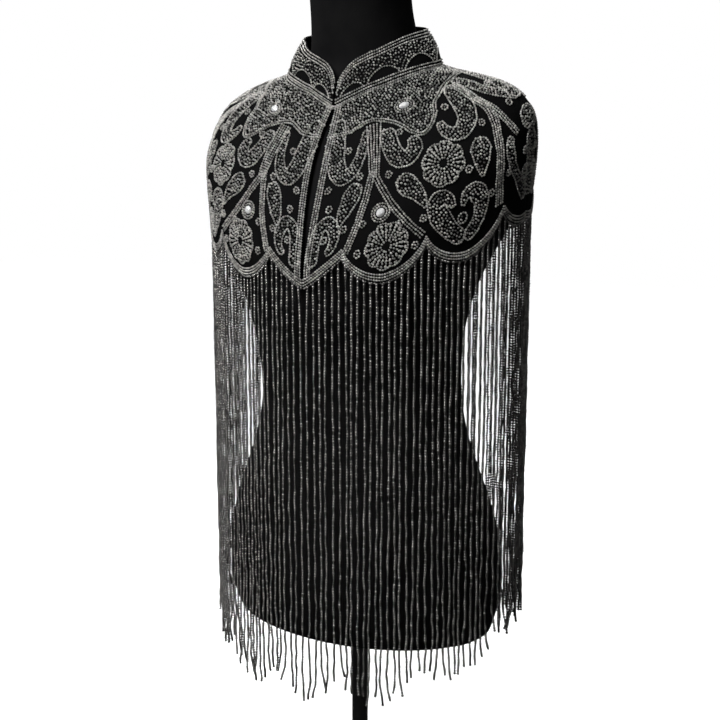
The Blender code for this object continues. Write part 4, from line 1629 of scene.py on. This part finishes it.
def floor_finish():
    """White floor: its glow is weaker close to the foot, a painted shade there on top of the real shadow,
    and it glows to pure white further off.
    """
    material, tree, shader = glowing_finish("white_floor", PALE, 0.9)
    place = add_node(tree, "ShaderNodeTexCoord").outputs["Object"]
    away = add_node(tree, "ShaderNodeVectorMath", {"operation": "LENGTH"}, Vector=place)
    # Emission strength falls close to the foot, which paints a shade round it.
    glow = add_node(
        tree,
        "ShaderNodeMapRange",
        {"interpolation_type": "SMOOTHSTEP"},
        Value=away.outputs["Value"],
        From_Min=SHADE_START,
        From_Max=SHADE_END,
        To_Min=SHADE_GLOW,
        To_Max=1.0,
    )
    set_inputs(tree, shader, Emission_Strength=glow.outputs["Result"])
    return material


def stage_piece(name, shape, material):
    """A piece of the stage, which only the camera sees."""
    mesh = shape_mesh(name, shape)
    mesh.materials.append(material)
    piece = link_piece(name, mesh)
    piece.visible_diffuse = False
    piece.visible_glossy = False
    piece.visible_transmission = False
    piece.visible_shadow = False
    return piece


ground = bmesh.new()
bmesh.ops.create_grid(ground, x_segments=1, y_segments=1, size=FLOOR_SIZE / 2)
floor = stage_piece("floor", ground, floor_finish())
dome = bmesh.new()
bmesh.ops.create_uvsphere(
    dome, u_segments=BACKDROP_SIDES, v_segments=BACKDROP_RINGS, radius=BACKDROP_RADIUS
)
backdrop = stage_piece("backdrop", dome, glowing_finish("white_backdrop", BLACK, 1.0)[0])
print("stage:", floor.name, "and", backdrop.name)

# %% Lamps and sky
Lamp = namedtuple("Lamp", "name azimuth elevation distance size power")
LAMPS = (
    Lamp("key", -20.0, 46.0, 1.8, 1.0, 54.0),
    Lamp("fill", 80.0, 24.0, 2.2, 1.4, 3.0),
    Lamp("rim", 200.0, 50.0, 2.0, 1.0, 14.0),
)
LIGHT_AIM = Vector((0.0, 0.0, 0.62))
SKY = 0.05


def look_at(data, aim, azimuth, elevation, distance):
    """A lamp or camera turned to its aim: azimuth 0 is in front of the part, 90 at its left."""
    bearing = math.radians(azimuth)
    climb = math.radians(elevation)
    level = math.cos(climb)
    away = Vector((math.sin(bearing) * level, -math.cos(bearing) * level, math.sin(climb)))
    holder = link_piece(data.name, data)
    holder.location = aim + away * distance
    holder.rotation_euler = (aim - holder.location).to_track_quat("-Z", "Y").to_euler()
    return holder


for lamp in LAMPS:
    light = bpy.data.lights.new(lamp.name, "AREA")
    light.size = lamp.size
    light.energy = lamp.power
    look_at(light, LIGHT_AIM, lamp.azimuth, lamp.elevation, lamp.distance)
world = bpy.data.worlds.new("sky")
world.use_nodes = True
set_inputs(world.node_tree, world.node_tree.nodes["Background"], Color=WHITE, Strength=SKY)
bpy.context.scene.world = world
bpy.context.scene.view_settings.view_transform = "Standard"
print("lamps:", [lamp.name for lamp in LAMPS])

# %% Camera
CAMERA_AZIMUTH = 27.0
CAMERA_ELEVATION = 10.0
CAMERA_DISTANCE = 1.25
CAMERA_AIM = Vector((0.0, 0.0, 0.55))
CAMERA_LENS = 55.31
CAMERA_SENSOR = 36.0

camera = bpy.data.cameras.new("camera")
camera.lens = CAMERA_LENS
camera.sensor_width = CAMERA_SENSOR
bpy.context.scene.camera = look_at(camera, CAMERA_AIM, CAMERA_AZIMUTH, CAMERA_ELEVATION, CAMERA_DISTANCE)
print("camera at", np.round(bpy.context.scene.camera.location, 3))
